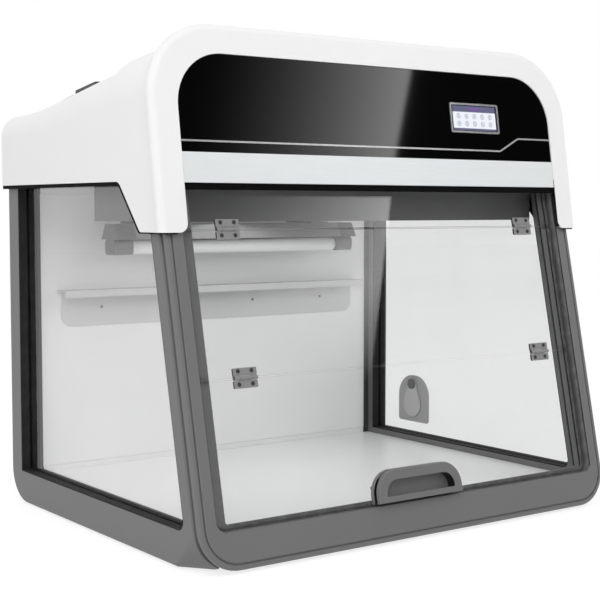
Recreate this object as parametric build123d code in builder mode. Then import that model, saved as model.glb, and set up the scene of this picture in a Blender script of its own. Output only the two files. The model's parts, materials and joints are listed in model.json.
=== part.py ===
from build123d import *
import os
from math import cos, radians, sin, tan

# A bench-top cabinet with a clear chamber, a folding front door and a moulded hood.
# The origin is the middle of the footprint on the floor, +X to the right seen from
# the front, +Y to the back, +Z up. Lengths are millimetres, angles are degrees.

# Frame, the driving sizes
frame_width = 800.0
frame_depth = 628.0
frame_top = 590.0
front_slant = 12.0
foot_height = 6.0
bottom_corner_radius = 60.0
rear_corner_radius = 56.0
side_frame_thickness = 34.0
rear_post_width = 39.0
rear_frame_thickness = 26.0
bottom_rail_height = 50.0
side_skirt = 2.5
corner_taper_length = 62.0
corner_taper_margin = 8.0

# Front frame, a slanted ring: a face inside a crease, a band round it, a groove behind
# the band, and an inner lip behind the door
front_face_layer = 9.0
front_rear_layer = 9.0
front_groove_depth = 4.0
front_edge_fillet = 4.0
front_face_inset = 9.5
front_face_fillet = 1.5
front_band_setback = 1.0
front_band_fillet = 3.0
front_crease_width = 2.5
front_crease_depth = 3.0
front_opening_margin = 27.0
front_opening_sill = 52.5
front_opening_drop = 34.0
front_opening_radius = 16.0
door_lip_width = 23.0
door_sill_lip = 10.0
door_lip_radius = 4.0
door_lip_thickness = 4.0
side_front_post = 24.0

# Windows
pane_thickness = 5.0
window_gasket_width = 2.0
window_gasket_grip = 1.2
window_gasket_depth = 33.0
window_corner_radius = 15.0
window_top_drop = 41.0

# Door panes: the upper fold line below the frame's top, the lower one above the floor
upper_fold_drop = 118.0
lower_fold_height = 263.0
pane_side_clearance = 5.0
pane_fold_gap = 2.0
door_gasket_thickness = 1.0
door_gasket_gap = 0.2
door_gasket_width = 9.0
door_gasket_leg = 12.0

# Hinges
hinge_width = 40.0
hinge_leaf_height = 14.5
hinge_leaf_thickness = 3.0
hinge_pin_diameter = 2.4
hinge_pin_clearance = 0.05
hinge_middle_knuckle = 20.0
hinge_knuckle_gap = 0.3
hinge_side_inset = 73.0
hinge_leaf_relief = 0.4
hinge_leaf_corner = 1.5
hinge_screw_pitch = 23.0
hinge_screw_height = 9.5
screw_head_diameter = 5.2
screw_head_height = 1.4
screw_shank_diameter = 3.0

# Handle
handle_width = 166.0
handle_height = 49.0
handle_depth = 20.0
handle_corner_radius = 37.0
handle_wall = 16.0
handle_bottom_lip = 9.0
handle_pocket_depth = 16.0
handle_offset = -13.0
handle_sill_gap = 4.0
handle_edge_fillet = 2.5
handle_flange = 8.0
handle_groove = 5.0
handle_pocket_radius = 2.5
handle_screw_inset = 8.0
handle_screw_grip = 8.0

# Hood. Its body sections are distance from the rear wall, rise over the frame, radius
hood_overhang = 8.0
hood_side_overhang = 9.0
hood_wall = 3.5
hood_rim_inset = 6.0
hood_edge_drop = 51.0
hood_leg_drop = 123.0
hood_front_slant = 8.6
hood_leg_reach = 9.0
hood_rise = 175.5
hood_rim_radius = 112.0
hood_rim_flare = 3.5
hood_rim_land = 12.0
hood_rim_fillet = 10.0
hood_flare_length = 44.0
hood_flare_steps = [(0.0, 1.0), (0.22, 0.55), (1.0, 0.0)]
hood_body_sections = [(158.0, 84.0, 50.0), (318.0, 120.0, 66.0)]
hood_leg_width = 40.0
hood_opening_drop = 43.5
hood_opening_radius = 80.0
hood_leg_corner_radius = 14.0
hood_leg_outer_radius = 8.0
hood_rear_fillet = 6.0
hood_rear_rise = 67.0
hood_rear_radius = 35.0
hood_neck_drop = 31.5
hood_neck_radius = 80.0
hood_diagonal_run = 62.0
hood_diagonal_depth = 218.0
hood_diagonal_radius = 18.0

# Hood shoulder pockets and the air intakes in them
pocket_floor_rise = 81.0
pocket_reach = 147.0
pocket_rear_inset = 200.0
pocket_length = 186.0
pocket_corner_radius = 48.0
pocket_floor_slant = 7.7
intake_length = 72.0
intake_width = 64.0
intake_height = 15.0
intake_side_inset = 71.0
intake_rear_inset = 40.0
intake_corner = 4.0
intake_slots = 6
intake_slot_depth = 5.0

# Fascia
fascia_thickness = 2.0
fascia_clearance = 0.6
carrier_thickness = 2.0
carrier_overlap = 8.0
strip_drop = 53.0
strip_height = 43.0
strip_proud = 0.7
trim_line_width = 2.6
trim_line_rise = 16.0
trim_line_step = 22.0
trim_line_bend_inset = 120.0
trim_line_thickness = 0.4
screen_width = 107.0
screen_height = 49.0
screen_side_inset = 171.5
screen_rise = 68.5
bezel_width = 3.0
bezel_proud = 1.2
bezel_radius = 3.0
board_margin = 12.0
board_thickness = 1.6
screen_glass_thickness = 2.0
display_depth = 16.0

# Sill seal under the aluminium strip and the seal under the hood edge
sill_seal_height = 10.0
sill_seal_gap = 1.0
seal_setback = 3.0
edge_seal_height = 5.5
edge_seal_tuck = 3.0
edge_seal_end_gap = 1.0
edge_seal_inset = 1.0
edge_seal_leg_height = 2.0
hood_return_depth = 8.0

# Floor of the chamber
work_surface_height = 46.0
work_surface_thickness = 2.0
tray_wall = 2.5
tray_rib = 3.0
tray_bevel = 44.0
tray_rear_bevel = 24.0
tray_rear_rise = 9.0
surface_edge_fillet = 1.0
fit_clearance = 0.5
foot_diameter = 38.0
foot_inset = 62.0
foot_chamfer = 1.0

# Rear wall
rear_panel_thickness = 4.0
rear_panel_margin = 12.0
rear_panel_lap = 12.0
rear_screw_head = 8.0
rear_screw_height = 2.5

# Ceiling, filter box and blower
ceiling_drop = 37.0
ceiling_thickness = 2.0
filter_box_setback = 153.0
filter_box_depth = 228.0
filter_box_height = 72.0
filter_box_side_gap = 2.0
sheet = 2.0
filter_lip = 14.0
filter_thickness = 50.0
blower_diameter = 236.0
blower_height = 78.0
blower_inlet = 120.0
blower_outlet = 150.0
impeller_diameter = 196.0
impeller_height = 40.0
impeller_blades = 11
impeller_blade_length = 30.0
impeller_blade_turn = 40.0
impeller_hub = 24.0
impeller_hub_height = 14.0
impeller_gap = 2.0
impeller_disc = 2.5
bridge_lap = 15.0
bridge_thickness = 3.0
bridge_width = 30.0
prefilter_thickness = 12.0
motor_diameter = 84.0
motor_height = 26.0
motor_edge_fillet = 2.0
shaft_diameter = 6.0
shaft_clearance = 0.05

# Lamp
lamp_end_gap = 110.0
lamp_setback = 66.0
lamp_tube_drop = 40.0
lamp_tube_diameter = 26.0
lamp_drop = 79.0
lamp_body_width = 62.0
lamp_channel_width = 34.0
lamp_holder_width = 36.0
lamp_socket_width = 36.0
lamp_socket_radius = 8.0
lamp_bracket_length = 40.0
lamp_bracket_inset = 76.0
lamp_bracket_thickness = 2.0
lamp_bracket_rise = 30.0

# Pipette rack on the rear wall
rack_side_gap = 41.0
rack_height = 360.0
rack_depth = 36.0
rack_apron = 64.0
rack_thickness = 2.0
rack_slots = 4
rack_slot_pitch = 60.0
rack_slot_width = 28.0
rack_slot_depth = 8.0
rack_slot_inset = 190.0
rack_slot_margin = 6.0
rack_front_fold = 12.0
rack_apron_inset = 8.0
rack_apron_radius = 20.0
rack_screw_pitch = 160.0

# Cable port in the right window
port_rear_inset = 153.0
port_plate_drop = 34.0
port_plate_width = 86.0
port_plate_height = 91.0
port_plate_thickness = 4.0
port_hole_diameter = 36.0
port_hole_height = 116.0
port_pivot_rise = 41.0
port_flap_thickness = 3.0
port_flap_width = 48.0
port_pivot_diameter = 20.0
port_pin_diameter = 5.0
port_gap = 0.3
port_plate_radius = 40.0
port_corner_radius = 6.0
port_plate_chamfer = 1.0
port_cap_thickness = 2.5

# Mains inlet and switch in the rear wall of the hood
inlet_offset = -20.0
inlet_rise = 26.0
inlet_width = 30.0
inlet_tall = 24.0
inlet_depth = 26.0
inlet_wall = 1.5
inlet_cavity = 20.0
inlet_pin_pitch = 7.0
inlet_pin_drop = 2.0
inlet_pin_width = 2.0
inlet_pin_height = 4.0
inlet_pin_length = 12.0
service_side_inset = 144.0
service_width = 100.0
service_height = 50.0
service_recess = 3.0
service_corner = 6.0
flange_lap = 3.0
flange_thickness = 1.5
rocker_offset = 28.0
rocker_width = 14.0
rocker_tall = 20.0
rocker_tilt = 8.0
rocker_axis_depth = 3.5
rocker_pin_diameter = 2.0
rocker_end_gap = 1.0
rocker_dip = 1.2
rocker_foot = 4.0
switch_width = 17.0
switch_tall = 23.0
switch_depth = 20.0

# Brackets and screws that hold the hood
hood_bracket_inset = 250.0
hood_bracket_width = 50.0
hood_bracket_thickness = 2.5
hood_bracket_margin = 12.0
hood_screw_rise = 22.0
hood_screw_pitch = 26.0
hood_screw_length = 10.0

# Electrics on the ceiling
ballast_side_inset = 136.0
ballast_rear_inset = 110.0
ballast_length = 150.0
ballast_width = 42.0
ballast_height = 30.0
ballast_chamfer = 2.0

# Overrun of tools that cut right through a wall
cut_clearance = 1.0

os.makedirs("parts", exist_ok=True)

# Derived places
half_width = frame_width / 2
frame_bottom = foot_height
front_bottom_y = -(frame_depth + hood_overhang) / 2
rear_y = front_bottom_y + frame_depth
hood_rear_y = rear_y + hood_overhang
slant_cos = cos(radians(front_slant))
slant_tan = tan(radians(front_slant))
front_frame_thickness = front_face_layer + front_rear_layer
front_opening_top = frame_top - front_opening_drop
inner_half = half_width - side_frame_thickness
window_top = frame_top - window_top_drop
upper_fold_height = frame_top - upper_fold_drop
ceiling_height = frame_top - ceiling_drop
rear_front_y = rear_y - rear_frame_thickness
hood_cos = cos(radians(hood_front_slant))
hood_sin = sin(radians(hood_front_slant))
hood_edge_height = frame_top - hood_edge_drop
hood_leg_bottom = frame_top - hood_leg_drop
hood_top = frame_top + hood_rise
hood_rear_top = frame_top + hood_rear_rise
hood_neck_top = hood_top - hood_neck_drop
hood_opening_top = hood_top - hood_opening_drop
hood_half = half_width + hood_side_overhang
hood_opening_half = hood_half - hood_leg_width
hood_screw_height = frame_top + hood_screw_rise
strip_bottom = frame_top - strip_drop
strip_top = strip_bottom + strip_height
sill_seal_bottom = strip_bottom - sill_seal_height
inlet_height = frame_top + inlet_rise
service_x = half_width - service_side_inset
hood_bracket_x = half_width - hood_bracket_inset
handle_screw_pitch = handle_width - 2 * handle_screw_inset
inlet_x = service_x + inlet_offset
rocker_x = service_x + rocker_offset
port_y = rear_y - port_rear_inset
port_pivot_height = port_hole_height + port_pivot_rise


def save(piece, name):
    """Label a finished piece and write it as one file."""
    piece.part.label = name
    export_step(piece.part, f"parts/{name}.step")


def front_y(height):
    """Place of the frame's front face at a height."""
    return front_bottom_y + (height - frame_bottom) * slant_tan


def up_slope(height):
    """Distance up the slanted front at a height."""
    return (height - frame_bottom) / slant_cos


hood_leg_y = front_y(hood_leg_bottom) - hood_leg_reach


def hood_front_y(height):
    """Place of the hood's front face at a height."""
    return hood_leg_y + (height - hood_leg_bottom) * hood_sin / hood_cos


def up_hood(height):
    """Distance up the hood's front face at a height."""
    return (height - hood_leg_bottom) / hood_cos


front_plane = Plane(
    origin=(0, front_bottom_y, frame_bottom),
    x_dir=(1, 0, 0),
    z_dir=(0, -slant_cos, sin(radians(front_slant))),
)
hood_plane = Plane(
    origin=(0, hood_leg_y, hood_leg_bottom),
    x_dir=(1, 0, 0),
    z_dir=(0, -hood_cos, hood_sin),
)
front_outward = Axis(front_plane.origin, front_plane.z_dir)
hood_outward = Axis(hood_plane.origin, hood_plane.z_dir)
behind_front = front_frame_thickness / slant_cos


# Front frame
outer_height = up_slope(frame_top)
opening_half = half_width - front_opening_margin
opening_bottom = up_slope(frame_bottom + front_opening_sill)
opening_top = up_slope(front_opening_top)
lip_half = opening_half - door_lip_width
lip_bottom = opening_bottom + door_sill_lip


def frame_outline(plane, inset):
    """The front frame's outer outline moved inwards, rounded at its lower corners."""
    with BuildSketch(plane) as outline:
        with Locations((0, (outer_height + inset) / 2)):
            Rectangle(frame_width - 2 * inset, outer_height - inset)
        fillet(outline.vertices().group_by(Axis.Y)[0], bottom_corner_radius - inset)
    return outline.sketch


def door_opening(plane, half, bottom, radius):
    """The door opening of the front frame as a sketch, rounded at its lower corners."""
    height = opening_top - bottom
    with BuildSketch(plane) as opening:
        with Locations((0, bottom + height / 2)):
            Rectangle(2 * half, height)
        fillet(opening.vertices().group_by(Axis.Y)[0], radius)
    return opening.sketch


with BuildPart() as front_frame:
    band_plane = front_plane.offset(-front_band_setback)
    extrude(frame_outline(band_plane, 0.0), amount=front_band_setback - front_face_layer)
    band_edges = front_frame.faces().sort_by(front_outward)[-1].edges()
    fillet(band_edges, front_band_fillet)
    extrude(frame_outline(front_plane, front_face_inset), amount=-front_face_layer)
    crease_outline = frame_outline(front_plane, front_face_inset - front_crease_width)
    extrude(
        crease_outline - frame_outline(front_plane, front_face_inset),
        amount=-front_crease_depth,
        mode=Mode.SUBTRACT,
    )
    face_edges = front_frame.faces().sort_by(front_outward)[-1].edges()
    fillet(face_edges, front_face_fillet)
    rear_layer_plane = front_plane.offset(-front_face_layer)
    extrude(frame_outline(rear_layer_plane, front_groove_depth), amount=-front_rear_layer)
    extrude(
        door_opening(front_plane, lip_half, lip_bottom, door_lip_radius),
        amount=-front_frame_thickness,
        mode=Mode.SUBTRACT,
    )
    extrude(
        door_opening(front_plane, opening_half, opening_bottom, front_opening_radius),
        amount=-(front_frame_thickness - door_lip_thickness),
        mode=Mode.SUBTRACT,
    )
save(front_frame, "front_frame")

# Side frames, one ring each side with a slanted front post
side_bottom = frame_bottom - side_skirt
window_front_run = behind_front + side_front_post
window_bottom = frame_bottom + bottom_rail_height
window_rear_y = rear_y - rear_post_width


def window_sketch(plane, inset):
    """Outline of a side window, moved inwards by an inset."""
    low = window_bottom + inset
    high = window_top - inset
    run = window_front_run + inset / slant_cos
    back = window_rear_y - inset
    with BuildSketch(plane) as outline:
        with BuildLine():
            Polyline(
                (front_y(low) + run, low),
                (back, low),
                (back, high),
                (front_y(high) + run, high),
                close=True,
            )
        make_face()
        front_low = outline.vertices().group_by(Axis.Y)[0].sort_by(Axis.X)[0]
        fillet(front_low, window_corner_radius - inset)
    return outline.sketch


def corner_taper(side):
    """Waste that shapes a side frame's foot from the front frame's round corner to an edge."""
    reach = bottom_corner_radius + corner_taper_margin
    start_y = front_y(frame_bottom) + behind_front
    with BuildPart() as waste:
        with BuildSketch(front_plane.offset(-front_frame_thickness)) as corner:
            middle = bottom_corner_radius - reach / 2
            with Locations((side * (half_width - middle), middle)):
                Rectangle(reach, reach)
            with Locations((side * (half_width - bottom_corner_radius), bottom_corner_radius)):
                Circle(bottom_corner_radius, mode=Mode.SUBTRACT)
        tip = Vertex(side * half_width, start_y + corner_taper_length, side_bottom)
        loft(sections=[corner.sketch, tip], ruled=True)
    return waste.part


def side_frame(side):
    """A side frame, side -1 for the left and 1 for the right."""
    start = inner_half if side > 0 else -half_width
    with BuildPart() as frame:
        with BuildSketch(Plane.YZ.offset(start)) as outline:
            with BuildLine():
                Polyline(
                    (front_y(side_bottom) + behind_front, side_bottom),
                    (rear_y, side_bottom),
                    (rear_y, frame_top),
                    (front_y(frame_top) + behind_front, frame_top),
                    close=True,
                )
            make_face()
            fillet(outline.vertices().group_by(Axis.Y)[0].sort_by(Axis.X)[-1], rear_corner_radius)
        extrude(amount=side_frame_thickness)
        outer_face = frame.faces().sort_by(Axis.X)[-1 if side > 0 else 0]
        fillet(outer_face.edges(), front_edge_fillet)
        extrude(
            window_sketch(Plane.YZ.offset(start), 0),
            amount=side_frame_thickness,
            mode=Mode.SUBTRACT,
        )
        add(corner_taper(side), mode=Mode.SUBTRACT)
    return frame


left_side_frame = side_frame(-1)
save(left_side_frame, "left_side_frame")
right_side_frame = side_frame(1)
save(right_side_frame, "right_side_frame")

# Side windows and their black glazing gaskets
pane_middle = half_width - side_frame_thickness / 2


def port_outline(plane, radius):
    """The round cable hole in the right window, on a plane along X."""
    with BuildSketch(plane) as hole:
        with Locations((port_y, port_hole_height)):
            Circle(radius)
    return hole.sketch


def window_pane(side):
    """A clear side pane held by its gasket."""
    start = side * pane_middle - pane_thickness / 2
    with BuildPart() as pane:
        inset = window_gasket_width - window_gasket_grip
        extrude(window_sketch(Plane.YZ.offset(start), inset), amount=pane_thickness)
        if side > 0:
            hole = port_outline(Plane.YZ.offset(start), port_hole_diameter / 2)
            extrude(hole, amount=pane_thickness, mode=Mode.SUBTRACT)
            with Locations(
                Location((start, port_y, port_pivot_height), (0, 90, 0)),
            ):
                Hole(radius=port_pin_diameter / 2, depth=2 * pane_thickness)
    return pane


left_window = window_pane(-1)
save(left_window, "left_window")
right_window = window_pane(1)
save(right_window, "right_window")

with BuildPart() as window_gaskets:
    for side in (-1, 1):
        ring_start = side * pane_middle - window_gasket_depth / 2
        pane_start = side * pane_middle - pane_thickness / 2
        extrude(window_sketch(Plane.YZ.offset(ring_start), 0), amount=window_gasket_depth)
        extrude(
            window_sketch(Plane.YZ.offset(ring_start), window_gasket_width),
            amount=window_gasket_depth,
            mode=Mode.SUBTRACT,
        )
        extrude(
            window_sketch(
                Plane.YZ.offset(pane_start), window_gasket_width - window_gasket_grip
            ),
            amount=pane_thickness,
            mode=Mode.SUBTRACT,
        )
save(window_gaskets, "window_gaskets")

# Rear frame between the side frames, and its panel
panel_half = inner_half - rear_panel_margin
panel_bottom = window_bottom
panel_top = hood_edge_height - edge_seal_height - rear_screw_head

panel_width = 2 * panel_half
panel_height = panel_top - panel_bottom
panel_centre = (0, (panel_bottom + panel_top) / 2)
panel_screw_spots = GridLocations(
    (panel_width - rear_panel_lap) / 3, (panel_height - rear_panel_lap) / 2, 4, 3
).local_locations


def rear_corner_waste():
    """The space under the rounded rear edge of the side frames, as a body along X."""
    with BuildPart() as waste:
        with BuildSketch(Plane.YZ.offset(-half_width)):
            with Locations((rear_y - rear_corner_radius / 2, side_bottom + rear_corner_radius / 2)):
                Rectangle(rear_corner_radius, rear_corner_radius)
            with Locations((rear_y - rear_corner_radius, side_bottom + rear_corner_radius)):
                Circle(rear_corner_radius, mode=Mode.SUBTRACT)
        extrude(amount=frame_width)
    return waste.part


def panel_screw_sketch(y, radius):
    """Circles of the rear panel's screws round its edge, on a plane facing the front."""
    with BuildSketch(Plane.XZ.offset(-y)) as circles:
        for spot in panel_screw_spots:
            on_side = abs(spot.position.X) > panel_half - rear_panel_lap
            on_end = abs(spot.position.Y) > panel_height / 2 - rear_panel_lap
            if on_side or on_end:
                with Locations((spot.position.X, spot.position.Y + panel_centre[1])):
                    Circle(radius)
    return circles.sketch


def rack_screw_circles(y, radius):
    """Circles of the rack's screws on a plane facing the front."""
    with BuildSketch(Plane.XZ.offset(-y)) as circles:
        with Locations((0, rack_height - rack_apron / 2)):
            with GridLocations(rack_screw_pitch, 1, 4, 1):
                Circle(radius)
    return circles.sketch


with BuildPart() as rear_frame:
    with BuildSketch(Plane.XZ.offset(-rear_y)):
        with Locations((0, (frame_bottom + frame_top) / 2)):
            Rectangle(2 * inner_half, frame_top - frame_bottom)
        with Locations(panel_centre):
            Rectangle(
                panel_width - 2 * rear_panel_lap,
                panel_height - 2 * rear_panel_lap,
                mode=Mode.SUBTRACT,
            )
    extrude(amount=rear_frame_thickness)
    add(rear_corner_waste(), mode=Mode.SUBTRACT)
    with BuildSketch(Plane.XZ.offset(-rear_front_y - rear_panel_thickness)):
        with Locations(panel_centre):
            Rectangle(panel_width, panel_height)
    extrude(amount=rear_panel_thickness, mode=Mode.SUBTRACT)
    extrude(
        panel_screw_sketch(rear_y, screw_shank_diameter / 2),
        amount=rear_frame_thickness,
        mode=Mode.SUBTRACT,
    )
save(rear_frame, "rear_frame")

with BuildPart() as rear_panel:
    with BuildSketch(Plane.XZ.offset(-rear_front_y - rear_panel_thickness)):
        with Locations(panel_centre):
            Rectangle(panel_width - fit_clearance, panel_height - fit_clearance)
    extrude(amount=rear_panel_thickness)
    extrude(
        rack_screw_circles(rear_front_y + rear_panel_thickness, screw_shank_diameter / 2),
        amount=rear_panel_thickness,
        mode=Mode.SUBTRACT,
    )
save(rear_panel, "rear_panel")

with BuildPart() as rear_panel_screws:
    extrude(
        panel_screw_sketch(rear_y, screw_shank_diameter / 2),
        amount=rear_frame_thickness - rear_panel_thickness,
    )
    extrude(panel_screw_sketch(rear_y, rear_screw_head / 2), amount=-rear_screw_height)
save(rear_panel_screws, "rear_panel_screws")

# Base tray, work surface and feet
tray_front_y = front_y(frame_bottom) + behind_front
tray_top = work_surface_height - work_surface_thickness
tray_depth = rear_front_y - tray_front_y
tray_middle_y = (rear_front_y + tray_front_y) / 2
surface_front_y = front_y(work_surface_height) + behind_front

with BuildPart() as base_tray:
    with BuildSketch(Plane.YZ.offset(-inner_half)):
        with BuildLine():
            Polyline(
                (tray_front_y + tray_bevel, frame_bottom),
                (rear_front_y - tray_rear_bevel, frame_bottom),
                (rear_front_y, frame_bottom + tray_rear_rise),
                (rear_front_y, tray_top),
                (front_y(tray_top) + behind_front, tray_top),
                (front_y(tray_top - tray_wall) + behind_front, tray_top - tray_wall),
                close=True,
            )
        make_face()
    extrude(amount=2 * inner_half)
    cell_width = (2 * inner_half - 2 * tray_wall - 2 * tray_rib) / 3
    front_wall_y = tray_front_y + tray_bevel + tray_wall
    cell_depth = rear_front_y - tray_rear_bevel - front_wall_y
    with BuildSketch(Plane.XY.offset(frame_bottom + tray_wall)):
        with Locations((0, front_wall_y + cell_depth / 2)):
            with GridLocations(cell_width + tray_rib, 1, 3, 1):
                Rectangle(cell_width, cell_depth)
    extrude(amount=tray_top - frame_bottom - tray_wall, mode=Mode.SUBTRACT)
save(base_tray, "base_tray")

with BuildPart() as work_surface:
    with BuildSketch(Plane.XY.offset(tray_top)):
        surface_depth = rear_front_y - surface_front_y
        with Locations((0, surface_front_y + surface_depth / 2)):
            Rectangle(2 * (inner_half - fit_clearance), surface_depth - 2 * fit_clearance)
    extrude(amount=work_surface_thickness)
    fillet(work_surface.edges().group_by(Axis.Z)[-1], surface_edge_fillet)
save(work_surface, "work_surface")

with BuildPart() as rubber_feet:
    with BuildSketch(Plane.XY):
        with Locations((0, tray_middle_y)):
            with GridLocations(
                2 * (inner_half - foot_inset), tray_depth - 2 * foot_inset, 2, 2
            ):
                Circle(foot_diameter / 2)
    extrude(amount=foot_height)
    chamfer(rubber_feet.edges().group_by(Axis.Z)[0], foot_chamfer)
save(rubber_feet, "rubber_feet")

# Door gasket, an angle that lines the lip and the side of the front frame's opening
gasket_back = -(front_frame_thickness - door_lip_thickness)
pane_back = gasket_back + door_gasket_thickness + door_gasket_gap
pane_front = pane_back + pane_thickness


def gasket_space(plane, inset):
    """The door opening moved inwards from the gasket's outline, on a plane along the front."""
    return door_opening(
        plane, opening_half - inset, opening_bottom + inset, front_opening_radius - inset
    )


with BuildPart() as door_gasket:
    gasket_plane = front_plane.offset(gasket_back)
    extrude(gasket_space(gasket_plane, 0.0), amount=door_gasket_leg)
    extrude(
        gasket_space(gasket_plane.offset(door_gasket_thickness), door_gasket_thickness),
        amount=door_gasket_leg,
        mode=Mode.SUBTRACT,
    )
    extrude(
        gasket_space(gasket_plane, door_gasket_width),
        amount=door_gasket_thickness,
        mode=Mode.SUBTRACT,
    )
save(door_gasket, "door_gasket")

# Door panes, drilled for the hinge screws and the handle screws
upper_fold = up_slope(upper_fold_height)
lower_fold = up_slope(lower_fold_height)
pane_half = opening_half - pane_side_clearance
hinge_spread = 2 * (pane_half - hinge_side_inset)
pane_bottom = opening_bottom + pane_side_clearance
pane_plane = front_plane.offset(pane_back)


handle_bottom = opening_bottom + handle_sill_gap
handle_screw_row = handle_bottom + handle_height / 2


def handle_screw_holes(plane):
    """Circles for the two handle screws on a plane."""
    with BuildSketch(plane) as holes:
        with Locations((handle_offset, handle_screw_row)):
            with GridLocations(handle_screw_pitch, 1, 2, 1):
                Circle(screw_shank_diameter / 2)
    return holes.sketch


def hinge_screw_holes(plane, rows):
    """Circles for the hinge screws on a plane, in rows up the slope."""
    with BuildSketch(plane) as holes:
        for row in rows:
            with Locations((0, row)):
                with GridLocations(hinge_spread, 1, 2, 1):
                    with GridLocations(hinge_screw_pitch, 1, 2, 1):
                        Circle(screw_shank_diameter / 2)
    return holes.sketch


def door_pane(bottom, top, low_radius, rows):
    """A clear door pane between two distances up the slope, drilled for its hinges."""
    with BuildPart() as pane:
        with BuildSketch(pane_plane) as outline:
            with Locations((0, (bottom + top) / 2)):
                Rectangle(2 * pane_half, top - bottom)
            if low_radius:
                fillet(outline.vertices().group_by(Axis.Y)[0], low_radius)
        extrude(amount=pane_thickness)
        extrude(hinge_screw_holes(pane_plane, rows), amount=pane_thickness, mode=Mode.SUBTRACT)
        if low_radius:
            extrude(handle_screw_holes(pane_plane), amount=pane_thickness, mode=Mode.SUBTRACT)
    return pane


fixed_rows = [upper_fold + hinge_screw_height]
middle_rows = [upper_fold - hinge_screw_height, lower_fold + hinge_screw_height]
lower_rows = [lower_fold - hinge_screw_height]
fixed_top_pane = door_pane(upper_fold + pane_fold_gap / 2, opening_top, 0, fixed_rows)
save(fixed_top_pane, "fixed_top_pane")
middle_pane = door_pane(
    lower_fold + pane_fold_gap / 2, upper_fold - pane_fold_gap / 2, 0, middle_rows
)
save(middle_pane, "middle_pane")
lower_pane = door_pane(
    pane_bottom,
    lower_fold - pane_fold_gap / 2,
    front_opening_radius - pane_side_clearance,
    lower_rows,
)
save(lower_pane, "lower_pane")

# Hinges on the outside of the panes, with the knuckle on each fold line
knuckle_radius = hinge_leaf_thickness
knuckle_out = pane_front + knuckle_radius
leaf_gap = knuckle_radius + hinge_leaf_relief
end_knuckle = (hinge_width - hinge_middle_knuckle) / 2


def hinge_leaves(fold, side, middle):
    """Two leaves, above (1) or below (-1) a fold line, with the middle or the end knuckles."""
    if middle:
        knuckles = [(0, hinge_middle_knuckle)]
    else:
        reach = (hinge_middle_knuckle + end_knuckle) / 2
        length = end_knuckle - 2 * hinge_knuckle_gap
        knuckles = [(-reach, length), (reach, length)]
    bore = hinge_pin_diameter / 2
    if middle:
        bore += hinge_pin_clearance
    with BuildPart() as leaves:
        with BuildSketch(front_plane.offset(pane_front)) as plates:
            with Locations((0, fold + side * (leaf_gap + hinge_leaf_height) / 2)):
                with GridLocations(hinge_spread, 1, 2, 1):
                    Rectangle(hinge_width, hinge_leaf_height - leaf_gap)
            fillet(plates.vertices(), hinge_leaf_corner)
            for offset_x, length in knuckles:
                with Locations((offset_x, fold + side * leaf_gap)):
                    with GridLocations(hinge_spread, 1, 2, 1):
                        Rectangle(length, 2 * leaf_gap)
        extrude(amount=hinge_leaf_thickness)
        for offset_x, length in knuckles:
            for hinge_x in (-hinge_spread / 2, hinge_spread / 2):
                start = hinge_x + offset_x - length / 2
                axis_plane = Plane(
                    origin=front_plane.from_local_coords((start, fold, knuckle_out)),
                    x_dir=front_plane.y_dir,
                    z_dir=(1, 0, 0),
                )
                with BuildSketch(axis_plane):
                    Circle(knuckle_radius)
                extrude(amount=length)
        for hinge_x in (-hinge_spread / 2, hinge_spread / 2):
            axis_plane = Plane(
                origin=front_plane.from_local_coords(
                    (hinge_x - hinge_width / 2, fold, knuckle_out)
                ),
                x_dir=front_plane.y_dir,
                z_dir=(1, 0, 0),
            )
            with BuildSketch(axis_plane):
                Circle(bore)
            extrude(amount=hinge_width, mode=Mode.SUBTRACT)
        holes = hinge_screw_holes(front_plane.offset(pane_front), [fold + side * hinge_screw_height])
        extrude(holes, amount=hinge_leaf_thickness, mode=Mode.SUBTRACT)
    return leaves


def hinge_screws(rows):
    """Flat headed screws through the hinge leaves and the panes, in rows up the slope."""
    with BuildPart() as screws:
        extrude(
            hinge_screw_holes(pane_plane, rows),
            amount=pane_thickness + hinge_leaf_thickness,
        )
        with BuildSketch(front_plane.offset(pane_front + hinge_leaf_thickness)):
            for row in rows:
                with Locations((0, row)):
                    with GridLocations(hinge_spread, 1, 2, 1):
                        with GridLocations(hinge_screw_pitch, 1, 2, 1):
                            Circle(screw_head_diameter / 2)
        extrude(amount=screw_head_height)
    return screws


def hinge_pins(fold):
    """The pins of the two hinges on a fold line."""
    with BuildPart() as pins:
        for hinge_x in (-hinge_spread / 2, hinge_spread / 2):
            axis_plane = Plane(
                origin=front_plane.from_local_coords(
                    (hinge_x - hinge_width / 2, fold, knuckle_out)
                ),
                x_dir=front_plane.y_dir,
                z_dir=(1, 0, 0),
            )
            with BuildSketch(axis_plane):
                Circle(hinge_pin_diameter / 2)
            extrude(amount=hinge_width)
    return pins


upper_hinge_fixed_leaves = hinge_leaves(upper_fold, 1, False)
save(upper_hinge_fixed_leaves, "upper_hinge_fixed_leaves")
upper_hinge_moving_leaves = hinge_leaves(upper_fold, -1, True)
save(upper_hinge_moving_leaves, "upper_hinge_moving_leaves")
upper_hinge_pins = hinge_pins(upper_fold)
save(upper_hinge_pins, "upper_hinge_pins")
lower_hinge_upper_leaves = hinge_leaves(lower_fold, 1, False)
save(lower_hinge_upper_leaves, "lower_hinge_upper_leaves")
lower_hinge_lower_leaves = hinge_leaves(lower_fold, -1, True)
save(lower_hinge_lower_leaves, "lower_hinge_lower_leaves")
lower_hinge_pins = hinge_pins(lower_fold)
save(lower_hinge_pins, "lower_hinge_pins")

fixed_hinge_screws = hinge_screws(fixed_rows)
save(fixed_hinge_screws, "fixed_hinge_screws")
middle_hinge_screws = hinge_screws(middle_rows)
save(middle_hinge_screws, "middle_hinge_screws")

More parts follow.
